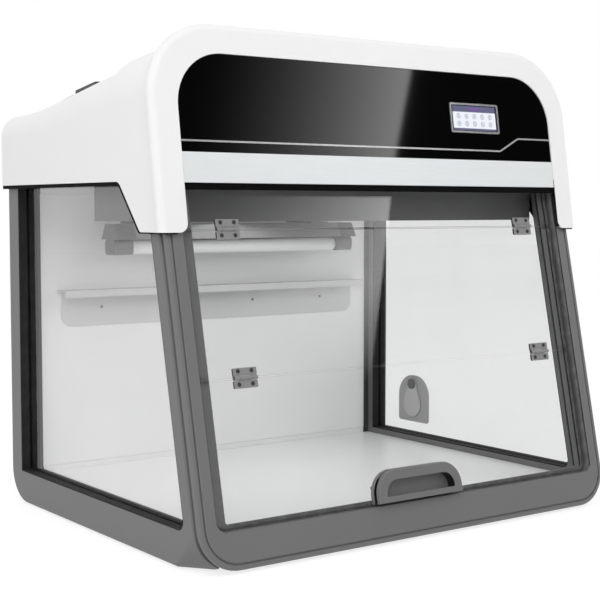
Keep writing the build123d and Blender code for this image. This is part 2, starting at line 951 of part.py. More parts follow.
# Handle, a hollow faced D on a thin flange at the bottom of the lower pane
handle_plane = front_plane.offset(pane_front)
handle_middle = (handle_offset, handle_bottom + handle_height / 2)
pocket_width = handle_width - 2 * handle_wall
pocket_height = handle_height - handle_bottom_lip - handle_wall
pocket_middle = (handle_offset, handle_bottom + handle_bottom_lip + pocket_height / 2)

with BuildPart() as door_handle:
    with BuildSketch(handle_plane) as flange_outline:
        with Locations(handle_middle):
            Rectangle(handle_width, handle_height)
        fillet(flange_outline.vertices().group_by(Axis.Y)[-1], handle_corner_radius)
    extrude(amount=handle_flange)
    with BuildSketch(handle_plane.offset(handle_flange)) as groove_outline:
        with Locations(handle_middle):
            Rectangle(handle_width - 2 * handle_groove, handle_height - 2 * handle_groove)
        fillet(
            groove_outline.vertices().group_by(Axis.Y)[-1],
            handle_corner_radius - handle_groove,
        )
    extrude(amount=handle_groove)
    with BuildSketch(handle_plane.offset(handle_flange + handle_groove)) as body_outline:
        with Locations(handle_middle):
            Rectangle(handle_width, handle_height)
        fillet(body_outline.vertices().group_by(Axis.Y)[-1], handle_corner_radius)
    extrude(amount=handle_depth - handle_flange - handle_groove)
    fillet(door_handle.faces().sort_by(front_outward)[-1].edges(), handle_edge_fillet)
    with BuildSketch(handle_plane.offset(handle_depth)) as pocket_outline:
        with Locations(pocket_middle):
            Rectangle(pocket_width, pocket_height)
        fillet(
            pocket_outline.vertices().group_by(Axis.Y)[-1], handle_corner_radius - handle_wall
        )
        fillet(pocket_outline.vertices().group_by(Axis.Y)[0], handle_pocket_radius)
    extrude(amount=-handle_pocket_depth, mode=Mode.SUBTRACT)
    extrude(handle_screw_holes(handle_plane), amount=handle_screw_grip, mode=Mode.SUBTRACT)
save(door_handle, "door_handle")

with BuildPart() as lower_door_screws:
    add(hinge_screws(lower_rows).part)
    extrude(
        handle_screw_holes(pane_plane),
        amount=pane_thickness + handle_screw_grip,
    )
    with BuildSketch(pane_plane):
        with Locations((handle_offset, handle_screw_row)):
            with GridLocations(handle_screw_pitch, 1, 2, 1):
                Circle(screw_head_diameter / 2)
    extrude(amount=-screw_head_height)
save(lower_door_screws, "lower_door_screws")

# Hood, lofted from the rear wall up to a flared rim round the fascia
rim_half = hood_half + hood_rim_flare
low_reach = hood_leg_bottom - 2 * hood_wall


def rounded_section(plane, half, top, radius):
    """A section of the hood on an upright or slanted plane, rounded at the shoulders."""
    low = (low_reach - plane.origin.Z) / plane.y_dir.Z
    high = (top - plane.origin.Z) / plane.y_dir.Z
    with BuildSketch(plane) as section:
        with Locations((0, (low + high) / 2)):
            Rectangle(2 * half, high - low)
        fillet(section.vertices().group_by(Axis.Y)[-1], radius)
    return section.sketch


def hood_sections(inset, rear):
    """Sections of the hood's body from the rear wall to the neck, moved inwards."""
    sections = []
    half = hood_half - inset
    rear_plane = Plane.XZ.offset(-rear)
    sections.append(
        rounded_section(rear_plane, half, hood_rear_top - inset, hood_rear_radius - inset)
    )
    for distance, rise, radius in hood_body_sections:
        plane = Plane.XZ.offset(distance - hood_rear_y)
        sections.append(rounded_section(plane, half, frame_top + rise - inset, radius - inset))
    neck = hood_plane.offset(-hood_flare_length)
    sections.append(
        rounded_section(neck, half, hood_neck_top - inset, hood_neck_radius - inset)
    )
    return sections


def flare_sections(inset, rim_inset):
    """Sections of the flare from the neck to the back of the rim, moved inwards."""
    sections = []
    for share, depth in hood_flare_steps:
        plane = hood_plane.offset(-hood_rim_land - depth * (hood_flare_length - hood_rim_land))
        edge = inset + (rim_inset - inset) * share
        rise = (hood_rim_rear_top - hood_neck_top) * share
        half = hood_half + hood_rim_flare * share - edge
        radius = hood_neck_radius + (hood_rim_radius - hood_neck_radius) * share - edge
        sections.append(rounded_section(plane, half, hood_neck_top + rise - edge, radius))
    return sections


hood_rim_rear_top = hood_top - hood_rim_land * hood_plane.z_dir.Z
diagonal_rise = hood_edge_height - hood_leg_bottom
diagonal_length = (hood_diagonal_run**2 + diagonal_rise**2) ** 0.5
diagonal_top_y = front_bottom_y + hood_diagonal_depth
diagonal_foot_y = diagonal_top_y - hood_diagonal_run
far = frame_width


def under_hood(shift, leg_shift):
    """The space under the hood's lower edge, moved away from it and from its legs' feet."""
    top_slide = shift * (diagonal_length - hood_diagonal_run) / diagonal_rise
    foot_slide = (shift * diagonal_length - leg_shift * hood_diagonal_run) / diagonal_rise
    with BuildPart() as space:
        with BuildSketch(Plane.YZ.offset(-far)) as outline:
            with BuildLine():
                Polyline(
                    (far, hood_edge_height - shift),
                    (diagonal_top_y + top_slide, hood_edge_height - shift),
                    (diagonal_foot_y + foot_slide, hood_leg_bottom - leg_shift),
                    (-far, hood_leg_bottom - leg_shift),
                    (-far, 0),
                    (far, 0),
                    close=True,
                )
            make_face()
            corners = outline.vertices().filter_by_position(Axis.X, -far + 1, far - 1)
            ordered = corners.sort_by(Axis.Y)
            fillet(ordered[-1], hood_diagonal_radius - shift)
            low_corner = outline.vertices().filter_by_position(Axis.X, -far + 1, far - 1)
            fillet(low_corner.sort_by(Axis.Y)[0], hood_leg_outer_radius + leg_shift)
        extrude(amount=2 * far)
    return space.part


def hood_solid(inset, rim_inset, rear, front):
    """The hood's outer form, or its hollow when moved inwards."""
    with BuildPart() as form:
        loft(sections=hood_sections(inset, rear))
        fillet(form.faces().sort_by(Axis.Y)[-1].edges(), hood_rear_fillet - inset)
        loft(sections=flare_sections(inset, rim_inset))
        rim_outline = rounded_section(
            hood_plane.offset(-hood_rim_land),
            rim_half - rim_inset,
            hood_rim_rear_top - rim_inset,
            hood_rim_radius - rim_inset,
        )
        extrude(rim_outline, amount=hood_rim_land - front)
    return form.part


def fascia_outline(plane, grow, bottom, top=None):
    """The outline of the hood's front opening above a height, on a plane along its face."""
    low = up_hood(bottom)
    high = up_hood(hood_opening_top) + grow
    with BuildSketch(plane) as outline:
        with Locations((0, (up_hood(low_reach) + high) / 2)):
            Rectangle(2 * (hood_opening_half + grow), high - up_hood(low_reach))
        fillet(outline.vertices().group_by(Axis.Y)[-1], hood_opening_radius + grow)
        with Locations((0, low - far)):
            Rectangle(2 * far, 2 * far, mode=Mode.SUBTRACT)
        if top:
            with Locations((0, up_hood(top) + far)):
                Rectangle(2 * far, 2 * far, mode=Mode.SUBTRACT)
    return outline.sketch


pocket_rear_floor = frame_top + pocket_floor_rise
pocket_inner_edge = hood_half - pocket_reach
pocket_rear = hood_rear_y - pocket_rear_inset
pocket_front = pocket_rear - pocket_length


def pocket_floor_z(y):
    """Height of the floor of the shoulder pockets at a place along Y."""
    return pocket_rear_floor + (pocket_rear - y) * tan(radians(pocket_floor_slant))


def pocket_tool(side, grow):
    """The space of a shoulder pocket, or the block that lines it when grown."""
    rear = pocket_rear + grow
    front = pocket_front - grow
    inner = pocket_inner_edge - grow
    with BuildPart() as tool:
        with BuildSketch(Plane.XY.offset(pocket_rear_floor - far)) as plan:
            with Locations((side * (inner + far) / 2, (rear + front) / 2)):
                Rectangle(far - inner, rear - front)
            near_corners = plan.vertices().sort_by(Axis.X)[:2]
            if side < 0:
                near_corners = plan.vertices().sort_by(Axis.X)[-2:]
            fillet(near_corners, pocket_corner_radius + grow)
        extrude(amount=2 * far)
        with BuildSketch(Plane.YZ.offset(-far)):
            with BuildLine():
                Polyline(
                    (far, pocket_floor_z(far) - grow),
                    (-far, pocket_floor_z(-far) - grow),
                    (-far, -far),
                    (far, -far),
                    close=True,
                )
            make_face()
        extrude(amount=2 * far, mode=Mode.SUBTRACT)
    return tool.part


def through_rear(places, width, height, depth, start, radius=0.0):
    """Rectangular blocks at places on the rear wall, from a start in Y towards the front."""
    with BuildPart() as blocks:
        with BuildSketch(Plane.XZ.offset(-start)) as outline:
            with Locations(places):
                Rectangle(width, height)
            if radius:
                fillet(outline.vertices(), radius)
        extrude(amount=depth)
    return blocks.part


def hood_screw_sketch(y, radius):
    """Circles of the screws that hold the hood at the back."""
    with BuildSketch(Plane.XZ.offset(-y)) as circles:
        with Locations((0, hood_screw_height)):
            with GridLocations(2 * hood_bracket_x, 1, 2, 1):
                with GridLocations(hood_screw_pitch, 1, 2, 1):
                    Circle(radius)
    return circles.sketch


def leg_corners():
    """The spaces under the rounded inner corners at the feet of the hood's two legs."""
    radius = hood_leg_corner_radius
    with BuildPart() as corners:
        with BuildSketch(hood_plane.offset(cut_clearance)):
            low = up_hood(hood_leg_bottom)
            with Locations((0, low + (radius - cut_clearance) / 2)):
                with GridLocations(2 * hood_opening_half + radius - cut_clearance, 1, 2, 1):
                    Rectangle(radius + cut_clearance, radius + cut_clearance)
            with Locations((0, low + radius)):
                with GridLocations(2 * (hood_opening_half + radius), 1, 2, 1):
                    Circle(radius, mode=Mode.SUBTRACT)
        extrude(amount=-(hood_return_depth + 2 * cut_clearance))
    return corners.part


hood_inner_rear = hood_rear_y - hood_wall
service_floor_y = hood_rear_y - service_recess
hood_hollow = hood_solid(hood_wall, hood_rim_inset, hood_inner_rear, hood_wall)

with BuildPart() as hood_shell:
    add(hood_solid(0.0, 0.0, hood_rear_y, 0.0))
    add(under_hood(0.0, 0.0), mode=Mode.SUBTRACT)
    front_face = hood_shell.faces().sort_by(hood_outward)[-1]
    fillet(front_face.edges().sort_by(Axis.Z)[1:], hood_rim_fillet)
    pocket_lining = [pocket_tool(side, hood_wall) for side in (-1, 1)]
    add(hood_hollow - pocket_lining[0] - pocket_lining[1], mode=Mode.SUBTRACT)
    for side in (-1, 1):
        add(pocket_tool(side, 0.0), mode=Mode.SUBTRACT)
    opening_start = hood_plane.offset(cut_clearance)
    extrude(
        fascia_outline(opening_start, 0.0, low_reach),
        amount=-(hood_wall + cut_clearance),
        mode=Mode.SUBTRACT,
    )
    with BuildSketch(hood_plane):
        return_low = up_hood(hood_leg_bottom)
        return_high = up_hood(sill_seal_bottom)
        with Locations((0, (return_low + return_high) / 2)):
            with GridLocations(2 * hood_opening_half + hood_wall, 1, 2, 1):
                Rectangle(hood_wall, return_high - return_low)
    extrude(amount=-hood_return_depth)
    add(leg_corners(), mode=Mode.SUBTRACT)
    add(
        through_rear(
            [(service_x, inlet_height)],
            service_width + 2 * hood_wall,
            service_height + 2 * hood_wall,
            hood_wall,
            service_floor_y,
        )
    )
    add(
        through_rear(
            [(service_x, inlet_height)],
            service_width,
            service_height,
            service_recess,
            hood_rear_y,
            service_corner,
        ),
        mode=Mode.SUBTRACT,
    )
    add(
        through_rear(
            [(inlet_x, inlet_height)], inlet_width, inlet_tall, 2 * hood_wall, service_floor_y
        ),
        mode=Mode.SUBTRACT,
    )
    add(
        through_rear(
            [(rocker_x, inlet_height)], switch_width, switch_tall, 2 * hood_wall, service_floor_y
        ),
        mode=Mode.SUBTRACT,
    )
    extrude(
        hood_screw_sketch(hood_rear_y, screw_shank_diameter / 2),
        amount=hood_wall,
        mode=Mode.SUBTRACT,
    )
    extrude(
        hood_screw_sketch(hood_rear_y, screw_head_diameter / 2),
        amount=screw_head_height,
        mode=Mode.SUBTRACT,
    )
save(hood_shell, "hood_shell")

# Black seal that closes the gap between the hood's lower edge and the frame
with BuildPart() as frame_space:
    with BuildSketch(Plane.YZ.offset(-half_width)):
        with BuildLine():
            Polyline(
                (front_y(0), 0),
                (rear_y, 0),
                (rear_y, hood_top),
                (front_y(hood_top), hood_top),
                close=True,
            )
        make_face()
    extrude(amount=frame_width)

with BuildPart() as hood_seal:
    seal_rear = hood_rear_y - edge_seal_inset
    seal_form = hood_solid(edge_seal_inset, hood_rim_inset, seal_rear, hood_wall)
    add(seal_form & under_hood(0.0, 0.0))
    add(hood_hollow & under_hood(-edge_seal_tuck, -edge_seal_tuck))
    add(under_hood(edge_seal_height, edge_seal_leg_height), mode=Mode.SUBTRACT)
    add(frame_space, mode=Mode.SUBTRACT)
    seal_inner = hood_opening_half + hood_leg_corner_radius + edge_seal_end_gap
    with BuildSketch(Plane.XZ.offset(-rear_front_y)):
        with Locations((0, hood_leg_bottom)):
            Rectangle(2 * seal_inner, 2 * (hood_edge_height - hood_leg_bottom) + 4 * hood_wall)
    extrude(amount=frame_depth, mode=Mode.SUBTRACT)
save(hood_seal, "hood_seal")

# Fascia parts in the hood's front opening, from the back to the front
carrier_plane = hood_plane.offset(-hood_wall - carrier_thickness)
panel_plane = hood_plane.offset(-hood_wall)
screen_middle = (hood_opening_half - screen_side_inset, up_hood(strip_top + screen_rise))


def screen_rectangle(plane, grow, radius):
    """The touch screen's outline on a plane along the fascia."""
    with BuildSketch(plane) as outline:
        with Locations(screen_middle):
            Rectangle(screen_width + 2 * grow, screen_height + 2 * grow)
        fillet(outline.vertices(), radius)
    return outline.sketch


with BuildPart() as fascia_carrier:
    extrude(
        fascia_outline(carrier_plane, carrier_overlap, strip_bottom), amount=carrier_thickness
    )
    extrude(
        screen_rectangle(carrier_plane, -bezel_width, bezel_radius),
        amount=carrier_thickness,
        mode=Mode.SUBTRACT,
    )
save(fascia_carrier, "fascia_carrier")

with BuildPart() as fascia_panel:
    extrude(
        fascia_outline(panel_plane, -fascia_clearance, strip_top), amount=fascia_thickness
    )
    extrude(
        screen_rectangle(panel_plane, 0.0, bezel_radius),
        amount=fascia_thickness,
        mode=Mode.SUBTRACT,
    )
save(fascia_panel, "fascia_panel")

with BuildPart() as metal_strip:
    extrude(
        fascia_outline(panel_plane, -fascia_clearance, strip_bottom, strip_top),
        amount=fascia_thickness + strip_proud,
    )
save(metal_strip, "metal_strip")

with BuildPart() as trim_line:
    with BuildSketch(panel_plane.offset(fascia_thickness)) as line_outline:
        low_row = up_hood(strip_top + trim_line_rise)
        high_row = low_row + trim_line_step
        line_end = hood_opening_half - fascia_clearance
        trim_line_bend = hood_opening_half - trim_line_bend_inset
        with BuildLine() as middle_line:
            Polyline(
                (-line_end, low_row),
                (trim_line_bend, low_row),
                (trim_line_bend + 2 * trim_line_step, high_row),
                (line_end, high_row),
            )
        trace(line_width=trim_line_width)
        with Locations((0, low_row)):
            Rectangle(2 * line_end, 4 * trim_line_step, mode=Mode.INTERSECT)
    extrude(amount=trim_line_thickness)
save(trim_line, "trim_line")

with BuildPart() as screen_bezel:
    extrude(
        screen_rectangle(panel_plane, 0.0, bezel_radius), amount=fascia_thickness + bezel_proud
    )
    extrude(
        screen_rectangle(panel_plane, -bezel_width, bezel_radius / 2),
        amount=fascia_thickness + bezel_proud,
        mode=Mode.SUBTRACT,
    )
save(screen_bezel, "screen_bezel")

with BuildPart() as touch_screen:
    extrude(
        screen_rectangle(panel_plane, -bezel_width, bezel_radius / 2),
        amount=screen_glass_thickness,
    )
save(touch_screen, "touch_screen")

with BuildPart() as control_board:
    with BuildSketch(carrier_plane):
        with Locations(screen_middle):
            Rectangle(screen_width + board_margin, screen_height + board_margin)
    extrude(amount=-board_thickness)
    with BuildSketch(carrier_plane.offset(-board_thickness)):
        with Locations(screen_middle):
            Rectangle(screen_width - board_margin, screen_height - board_margin)
    extrude(amount=-display_depth)
save(control_board, "control_board")

# Seal bar that fills the gap between the hood's front and the fixed top pane
pane_offset = -pane_front / slant_cos
sill_seal_top = strip_bottom - (hood_wall + carrier_thickness) * hood_sin
sill_seal_half = hood_opening_half - sill_seal_gap

with BuildPart() as sill_seal:
    with BuildSketch(Plane.YZ.offset(-sill_seal_half)):
        with BuildLine():
            Polyline(
                (hood_front_y(sill_seal_bottom) + seal_setback, sill_seal_bottom),
                (front_y(sill_seal_bottom) + pane_offset, sill_seal_bottom),
                (front_y(sill_seal_top) + pane_offset, sill_seal_top),
                (hood_front_y(sill_seal_top) + seal_setback, sill_seal_top),
                close=True,
            )
        make_face()
    extrude(amount=2 * sill_seal_half)
save(sill_seal, "sill_seal")

# Air intake caps on the floors of the shoulder pockets
intake_centre_x = hood_half - intake_side_inset
intake_centre_y = pocket_rear - intake_rear_inset

with BuildPart() as intake_caps:
    for side in (-1, 1):
        cap_plane = Plane(
            origin=(side * intake_centre_x, intake_centre_y, pocket_floor_z(intake_centre_y)),
            x_dir=(1, 0, 0),
            z_dir=(0, sin(radians(pocket_floor_slant)), cos(radians(pocket_floor_slant))),
        )
        with BuildSketch(cap_plane) as cap_outline:
            Rectangle(intake_width, intake_length)
            fillet(cap_outline.vertices(), intake_corner)
        extrude(amount=intake_height)
        slot_width = intake_length / (2 * intake_slots + 1)
        with BuildSketch(cap_plane.offset(intake_height)):
            with GridLocations(1, 2 * slot_width, 1, intake_slots):
                Rectangle(intake_width - 2 * slot_width, slot_width)
        extrude(amount=-intake_slot_depth, mode=Mode.SUBTRACT)
save(intake_caps, "intake_caps")

# Brackets between the frame's top and the hood's rear wall, with their screws
bracket_back = hood_inner_rear - hood_bracket_thickness
bracket_foot_top = frame_top + hood_bracket_thickness
bracket_top = hood_screw_height + hood_bracket_margin

with BuildPart() as hood_brackets:
    for centre in (-hood_bracket_x, hood_bracket_x):
        with BuildSketch(Plane.YZ.offset(centre - hood_bracket_width / 2)):
            with BuildLine():
                Polyline(
                    (rear_front_y, frame_top),
                    (hood_inner_rear, frame_top),
                    (hood_inner_rear, bracket_top),
                    (bracket_back, bracket_top),
                    (bracket_back, bracket_foot_top),
                    (rear_front_y, bracket_foot_top),
                    close=True,
                )
            make_face()
        extrude(amount=hood_bracket_width)
    extrude(
        hood_screw_sketch(hood_inner_rear, screw_shank_diameter / 2),
        amount=hood_bracket_thickness,
        mode=Mode.SUBTRACT,
    )
save(hood_brackets, "hood_brackets")

with BuildPart() as hood_screws:
    extrude(
        hood_screw_sketch(hood_rear_y, screw_shank_diameter / 2),
        amount=hood_screw_length,
    )
    extrude(
        hood_screw_sketch(hood_rear_y, screw_head_diameter / 2),
        amount=screw_head_height,
    )
save(hood_screws, "hood_screws")

# Ceiling plate between the frame parts, with the blower's outlet hole
blower_y = front_bottom_y + filter_box_setback + filter_box_depth / 2
ceiling_top = ceiling_height + ceiling_thickness

with BuildPart() as ceiling_plate:
    with BuildSketch(Plane.YZ.offset(-inner_half)):
        with BuildLine():
            Polyline(
                (front_y(ceiling_height) + behind_front, ceiling_height),
                (rear_front_y, ceiling_height),
                (rear_front_y, ceiling_top),
                (front_y(ceiling_top) + behind_front, ceiling_top),
                close=True,
            )
        make_face()
    extrude(amount=2 * inner_half)
    with Locations((0, blower_y, ceiling_top)):
        Hole(radius=blower_outlet / 2)
save(ceiling_plate, "ceiling_plate")

# Filter box under the ceiling, open to the ceiling's hole, and the fine filter on its lip
box_half = inner_half - filter_box_side_gap
filter_box_bottom = ceiling_height - filter_box_height

with BuildPart() as filter_box:
    with BuildSketch(Plane.XY.offset(filter_box_bottom)):
        with Locations((0, blower_y)):
            Rectangle(2 * box_half, filter_box_depth)
    extrude(amount=filter_box_height)
    with BuildSketch(Plane.XY.offset(filter_box_bottom + sheet)):
        with Locations((0, blower_y)):
            Rectangle(2 * (box_half - sheet), filter_box_depth - 2 * sheet)
    extrude(amount=filter_box_height - sheet, mode=Mode.SUBTRACT)
    with BuildSketch(Plane.XY.offset(filter_box_bottom)):
        with Locations((0, blower_y)):
            Rectangle(2 * (box_half - filter_lip), filter_box_depth - 2 * filter_lip)
    extrude(amount=sheet, mode=Mode.SUBTRACT)
save(filter_box, "filter_box")

with BuildPart() as fine_filter:
    with BuildSketch(Plane.XY.offset(filter_box_bottom + sheet)):
        with Locations((0, blower_y)):
            Rectangle(
                2 * (box_half - sheet - fit_clearance),
                filter_box_depth - 2 * (sheet + fit_clearance),
            )
    extrude(amount=filter_thickness)
save(fine_filter, "fine_filter")

# Blower on the ceiling: housing with its motor bridge, motor, shaft, impeller, pre-filter
housing_top = ceiling_top + blower_height
bridge_bottom = ceiling_top + sheet
bridge_top = bridge_bottom + bridge_thickness
motor_top = bridge_top + motor_height
impeller_bottom = motor_top + impeller_gap

with BuildPart() as blower_housing:
    with BuildSketch(Plane.XY.offset(ceiling_top)):
        with Locations((0, blower_y)):
            Circle(blower_diameter / 2)
    extrude(amount=blower_height)
    with BuildSketch(Plane.XY.offset(ceiling_top + sheet)):
        with Locations((0, blower_y)):
            Circle(blower_diameter / 2 - sheet)
    extrude(amount=blower_height - 2 * sheet, mode=Mode.SUBTRACT)
    with BuildSketch(Plane.XY.offset(ceiling_top)):
        with Locations((0, blower_y)):
            Circle(blower_outlet / 2)
    extrude(amount=sheet, mode=Mode.SUBTRACT)
    with BuildSketch(Plane.XY.offset(housing_top - sheet)):
        with Locations((0, blower_y)):
            Circle(blower_inlet / 2)
    extrude(amount=sheet, mode=Mode.SUBTRACT)
    with BuildSketch(Plane.XY.offset(bridge_bottom)):
        with Locations((0, blower_y)):
            Rectangle(blower_outlet + 2 * bridge_lap, bridge_width)
    extrude(amount=bridge_thickness)
save(blower_housing, "blower_housing")

with BuildPart() as blower_motor:
    with BuildSketch(Plane.XY.offset(bridge_top)):
        with Locations((0, blower_y)):
            Circle(motor_diameter / 2)
            Circle(shaft_diameter / 2 + shaft_clearance, mode=Mode.SUBTRACT)
    extrude(amount=motor_height)
    rim_edges = blower_motor.edges().filter_by(GeomType.CIRCLE).sort_by(Edge.length)[-2:]
    fillet(rim_edges, motor_edge_fillet)
save(blower_motor, "blower_motor")

with BuildPart() as fan_shaft:
    with BuildSketch(Plane.XY.offset(bridge_top + impeller_gap)):
        with Locations((0, blower_y)):
            Circle(shaft_diameter / 2)
    extrude(amount=motor_height + impeller_hub_height)
save(fan_shaft, "fan_shaft")

with BuildPart() as fan_impeller:
    with BuildSketch(Plane.XY.offset(impeller_bottom)):
        with Locations((0, blower_y)):
            Circle(impeller_diameter / 2)
    extrude(amount=impeller_disc)
    with BuildSketch(Plane.XY.offset(impeller_bottom)):
        with Locations((0, blower_y)):
            Circle(impeller_hub / 2)
    extrude(amount=impeller_hub_height)
    with BuildSketch(Plane.XY.offset(impeller_bottom)):
        with Locations((0, blower_y)):
            with PolarLocations((impeller_diameter - impeller_blade_length) / 2, impeller_blades):
                Rectangle(impeller_blade_length, sheet, rotation=impeller_blade_turn)
    extrude(amount=impeller_height)
    with BuildSketch(Plane.XY.offset(impeller_bottom)):
        with Locations((0, blower_y)):
            Circle(shaft_diameter / 2)
    extrude(amount=impeller_hub_height, mode=Mode.SUBTRACT)
save(fan_impeller, "fan_impeller")

with BuildPart() as prefilter:
    with BuildSketch(Plane.XY.offset(housing_top)):
        with Locations((0, blower_y)):
            Circle(blower_inlet / 2 + bridge_lap)
    extrude(amount=prefilter_thickness)
save(prefilter, "prefilter")

# Lamp on brackets from the rear panel
lamp_length = 2 * (inner_half - lamp_end_gap)
lamp_y = rear_front_y - lamp_setback
lamp_body_top = ceiling_height - lamp_drop
lamp_tube_height = lamp_body_top - lamp_tube_drop
lamp_bracket_pitch = lamp_length - 2 * lamp_bracket_inset
holder_bottom = lamp_tube_height - lamp_tube_diameter / 2
reflector_bottom = lamp_tube_height + lamp_tube_diameter / 2 + fit_clearance



def lamp_section(plane):
    """Cross-section of the lamp's flared body on a plane."""
    with BuildSketch(plane) as section:
        with BuildLine():
            Polyline(
                (lamp_y - lamp_body_width / 2, reflector_bottom),
                (lamp_y + lamp_body_width / 2, reflector_bottom),
                (lamp_y + lamp_channel_width / 2, lamp_body_top),
                (lamp_y - lamp_channel_width / 2, lamp_body_top),
                close=True,
            )
        make_face()
    return section.sketch


with BuildPart() as lamp_reflector:
    extrude(
        lamp_section(Plane.YZ.offset(-lamp_length / 2 + lamp_holder_width)),
        amount=lamp_length - 2 * lamp_holder_width,
    )
save(lamp_reflector, "lamp_reflector")

with BuildPart() as lamp_holders:
    for end in (-lamp_length / 2, lamp_length / 2 - lamp_holder_width):
        extrude(lamp_section(Plane.YZ.offset(end)), amount=lamp_holder_width)
        with BuildSketch(Plane.YZ.offset(end)) as socket:
            with Locations((lamp_y, (holder_bottom + reflector_bottom) / 2)):
                Rectangle(lamp_socket_width, reflector_bottom - holder_bottom)
            fillet(socket.vertices().group_by(Axis.Z)[0], lamp_socket_radius)
        extrude(amount=lamp_holder_width)
save(lamp_holders, "lamp_holders")

with BuildPart() as lamp_tube:
    with BuildSketch(Plane.YZ.offset(-lamp_length / 2 + lamp_holder_width)):
        with Locations((lamp_y, lamp_tube_height)):
            Circle(lamp_tube_diameter / 2)
    extrude(amount=lamp_length - 2 * lamp_holder_width)
save(lamp_tube, "lamp_tube")

with BuildPart() as lamp_brackets:
    with BuildSketch(Plane.XY.offset(lamp_body_top)):
        bracket_middle = (lamp_y - lamp_channel_width / 2 + rear_front_y) / 2
        with Locations((0, bracket_middle)):
            with GridLocations(lamp_bracket_pitch, 1, 2, 1):
                Rectangle(lamp_bracket_length, 2 * (rear_front_y - bracket_middle))
    extrude(amount=lamp_bracket_thickness)
    with BuildSketch(Plane.XY.offset(lamp_body_top)):
        with Locations((0, rear_front_y - lamp_bracket_thickness / 2)):
            with GridLocations(lamp_bracket_pitch, 1, 2, 1):
                Rectangle(lamp_bracket_length, lamp_bracket_thickness)
    extrude(amount=lamp_bracket_rise)
save(lamp_brackets, "lamp_brackets")

# Pipette rack on the rear wall
rack_back = rear_front_y
rack_front = rack_back - rack_depth
rack_width = 2 * (inner_half - rack_side_gap)
rack_slot_centre = rack_width / 2 - rack_slot_inset
rack_slot_y = rack_front + rack_slot_margin + rack_slot_depth / 2

with BuildPart() as pipette_rack:
    with BuildSketch(Plane.XY.offset(rack_height - rack_thickness)):
        with Locations((0, (rack_back + rack_front) / 2)):
            Rectangle(rack_width, rack_depth)
        with Locations((rack_slot_centre, rack_slot_y)):
            with GridLocations(rack_slot_pitch, 1, rack_slots, 1):
                Rectangle(rack_slot_width, rack_slot_depth, mode=Mode.SUBTRACT)
    extrude(amount=rack_thickness)
    with BuildSketch(Plane.XY.offset(rack_height)):
        with Locations((0, rack_front + rack_thickness / 2)):
            Rectangle(rack_width, rack_thickness)
    extrude(amount=-rack_front_fold)
    with BuildSketch(Plane.XZ.offset(-rack_back)) as apron_outline:
        with Locations((0, rack_height - rack_apron / 2)):
            Rectangle(rack_width - 2 * rack_apron_inset, rack_apron)
        fillet(apron_outline.vertices().group_by(Axis.Y)[0], rack_apron_radius)
    extrude(amount=rack_thickness)
    extrude(
        rack_screw_circles(rack_back, screw_shank_diameter / 2),
        amount=rack_thickness,
        mode=Mode.SUBTRACT,
    )
save(pipette_rack, "pipette_rack")

with BuildPart() as rack_screws:
    extrude(
        rack_screw_circles(rack_back - rack_thickness, screw_head_diameter / 2),
        amount=screw_head_height,
    )
    extrude(
        rack_screw_circles(rack_back + rear_panel_thickness, screw_shank_diameter / 2),
        amount=rear_panel_thickness + rack_thickness,
    )
save(rack_screws, "rack_screws")

# Cable port on the inside of the right window
port_outer_x = pane_middle - pane_thickness / 2
port_plate_x = port_outer_x - port_plate_thickness
port_plate_bottom = port_hole_height - port_plate_drop
flap_outer_x = port_plate_x - port_gap
flap_inner_x = flap_outer_x - port_flap_thickness
cap_outer_x = flap_inner_x - port_gap

with BuildPart() as port_plate:
    with BuildSketch(Plane.YZ.offset(port_plate_x)) as plate_outline:
        with Locations((port_y, port_plate_bottom + port_plate_height / 2)):
            Rectangle(port_plate_width, port_plate_height)
        fillet(plate_outline.vertices().group_by(Axis.Y)[-1], port_plate_radius)
        fillet(plate_outline.vertices().group_by(Axis.Y)[0], port_corner_radius)
        with Locations((port_y, port_hole_height)):
            Circle(port_hole_diameter / 2, mode=Mode.SUBTRACT)
        with Locations((port_y, port_pivot_height)):
            Circle(port_pin_diameter / 2, mode=Mode.SUBTRACT)
    extrude(amount=port_plate_thickness)
    chamfer(port_plate.faces().sort_by(Axis.X)[0].outer_wire().edges(), port_plate_chamfer)
save(port_plate, "port_plate")

with BuildPart() as port_flap:
    with BuildSketch(Plane.YZ.offset(flap_inner_x)):
        with Locations((port_y, port_hole_height)):
            Circle(port_flap_width / 2)
        with Locations((port_y, port_pivot_height)):
            Circle(port_pivot_diameter / 2)
        make_hull()
        with Locations((port_y, port_pivot_height)):
            Circle(port_pin_diameter / 2 + shaft_clearance, mode=Mode.SUBTRACT)
    extrude(amount=port_flap_thickness)
save(port_flap, "port_flap")

with BuildPart() as port_pin:
    with BuildSketch(Plane.YZ.offset(cap_outer_x)):
        with Locations((port_y, port_pivot_height)):
            Circle(port_pivot_diameter / 2)
    extrude(amount=-port_cap_thickness)
    with BuildSketch(Plane.YZ.offset(cap_outer_x)):
        with Locations((port_y, port_pivot_height)):
            Circle(port_pin_diameter / 2)
    extrude(amount=port_outer_x + pane_thickness - cap_outer_x)
save(port_pin, "port_pin")

# Mains inlet and power switch in the service recess at the back of the hood
inlet_place = [(inlet_x, inlet_height)]
rocker_place = [(rocker_x, inlet_height)]

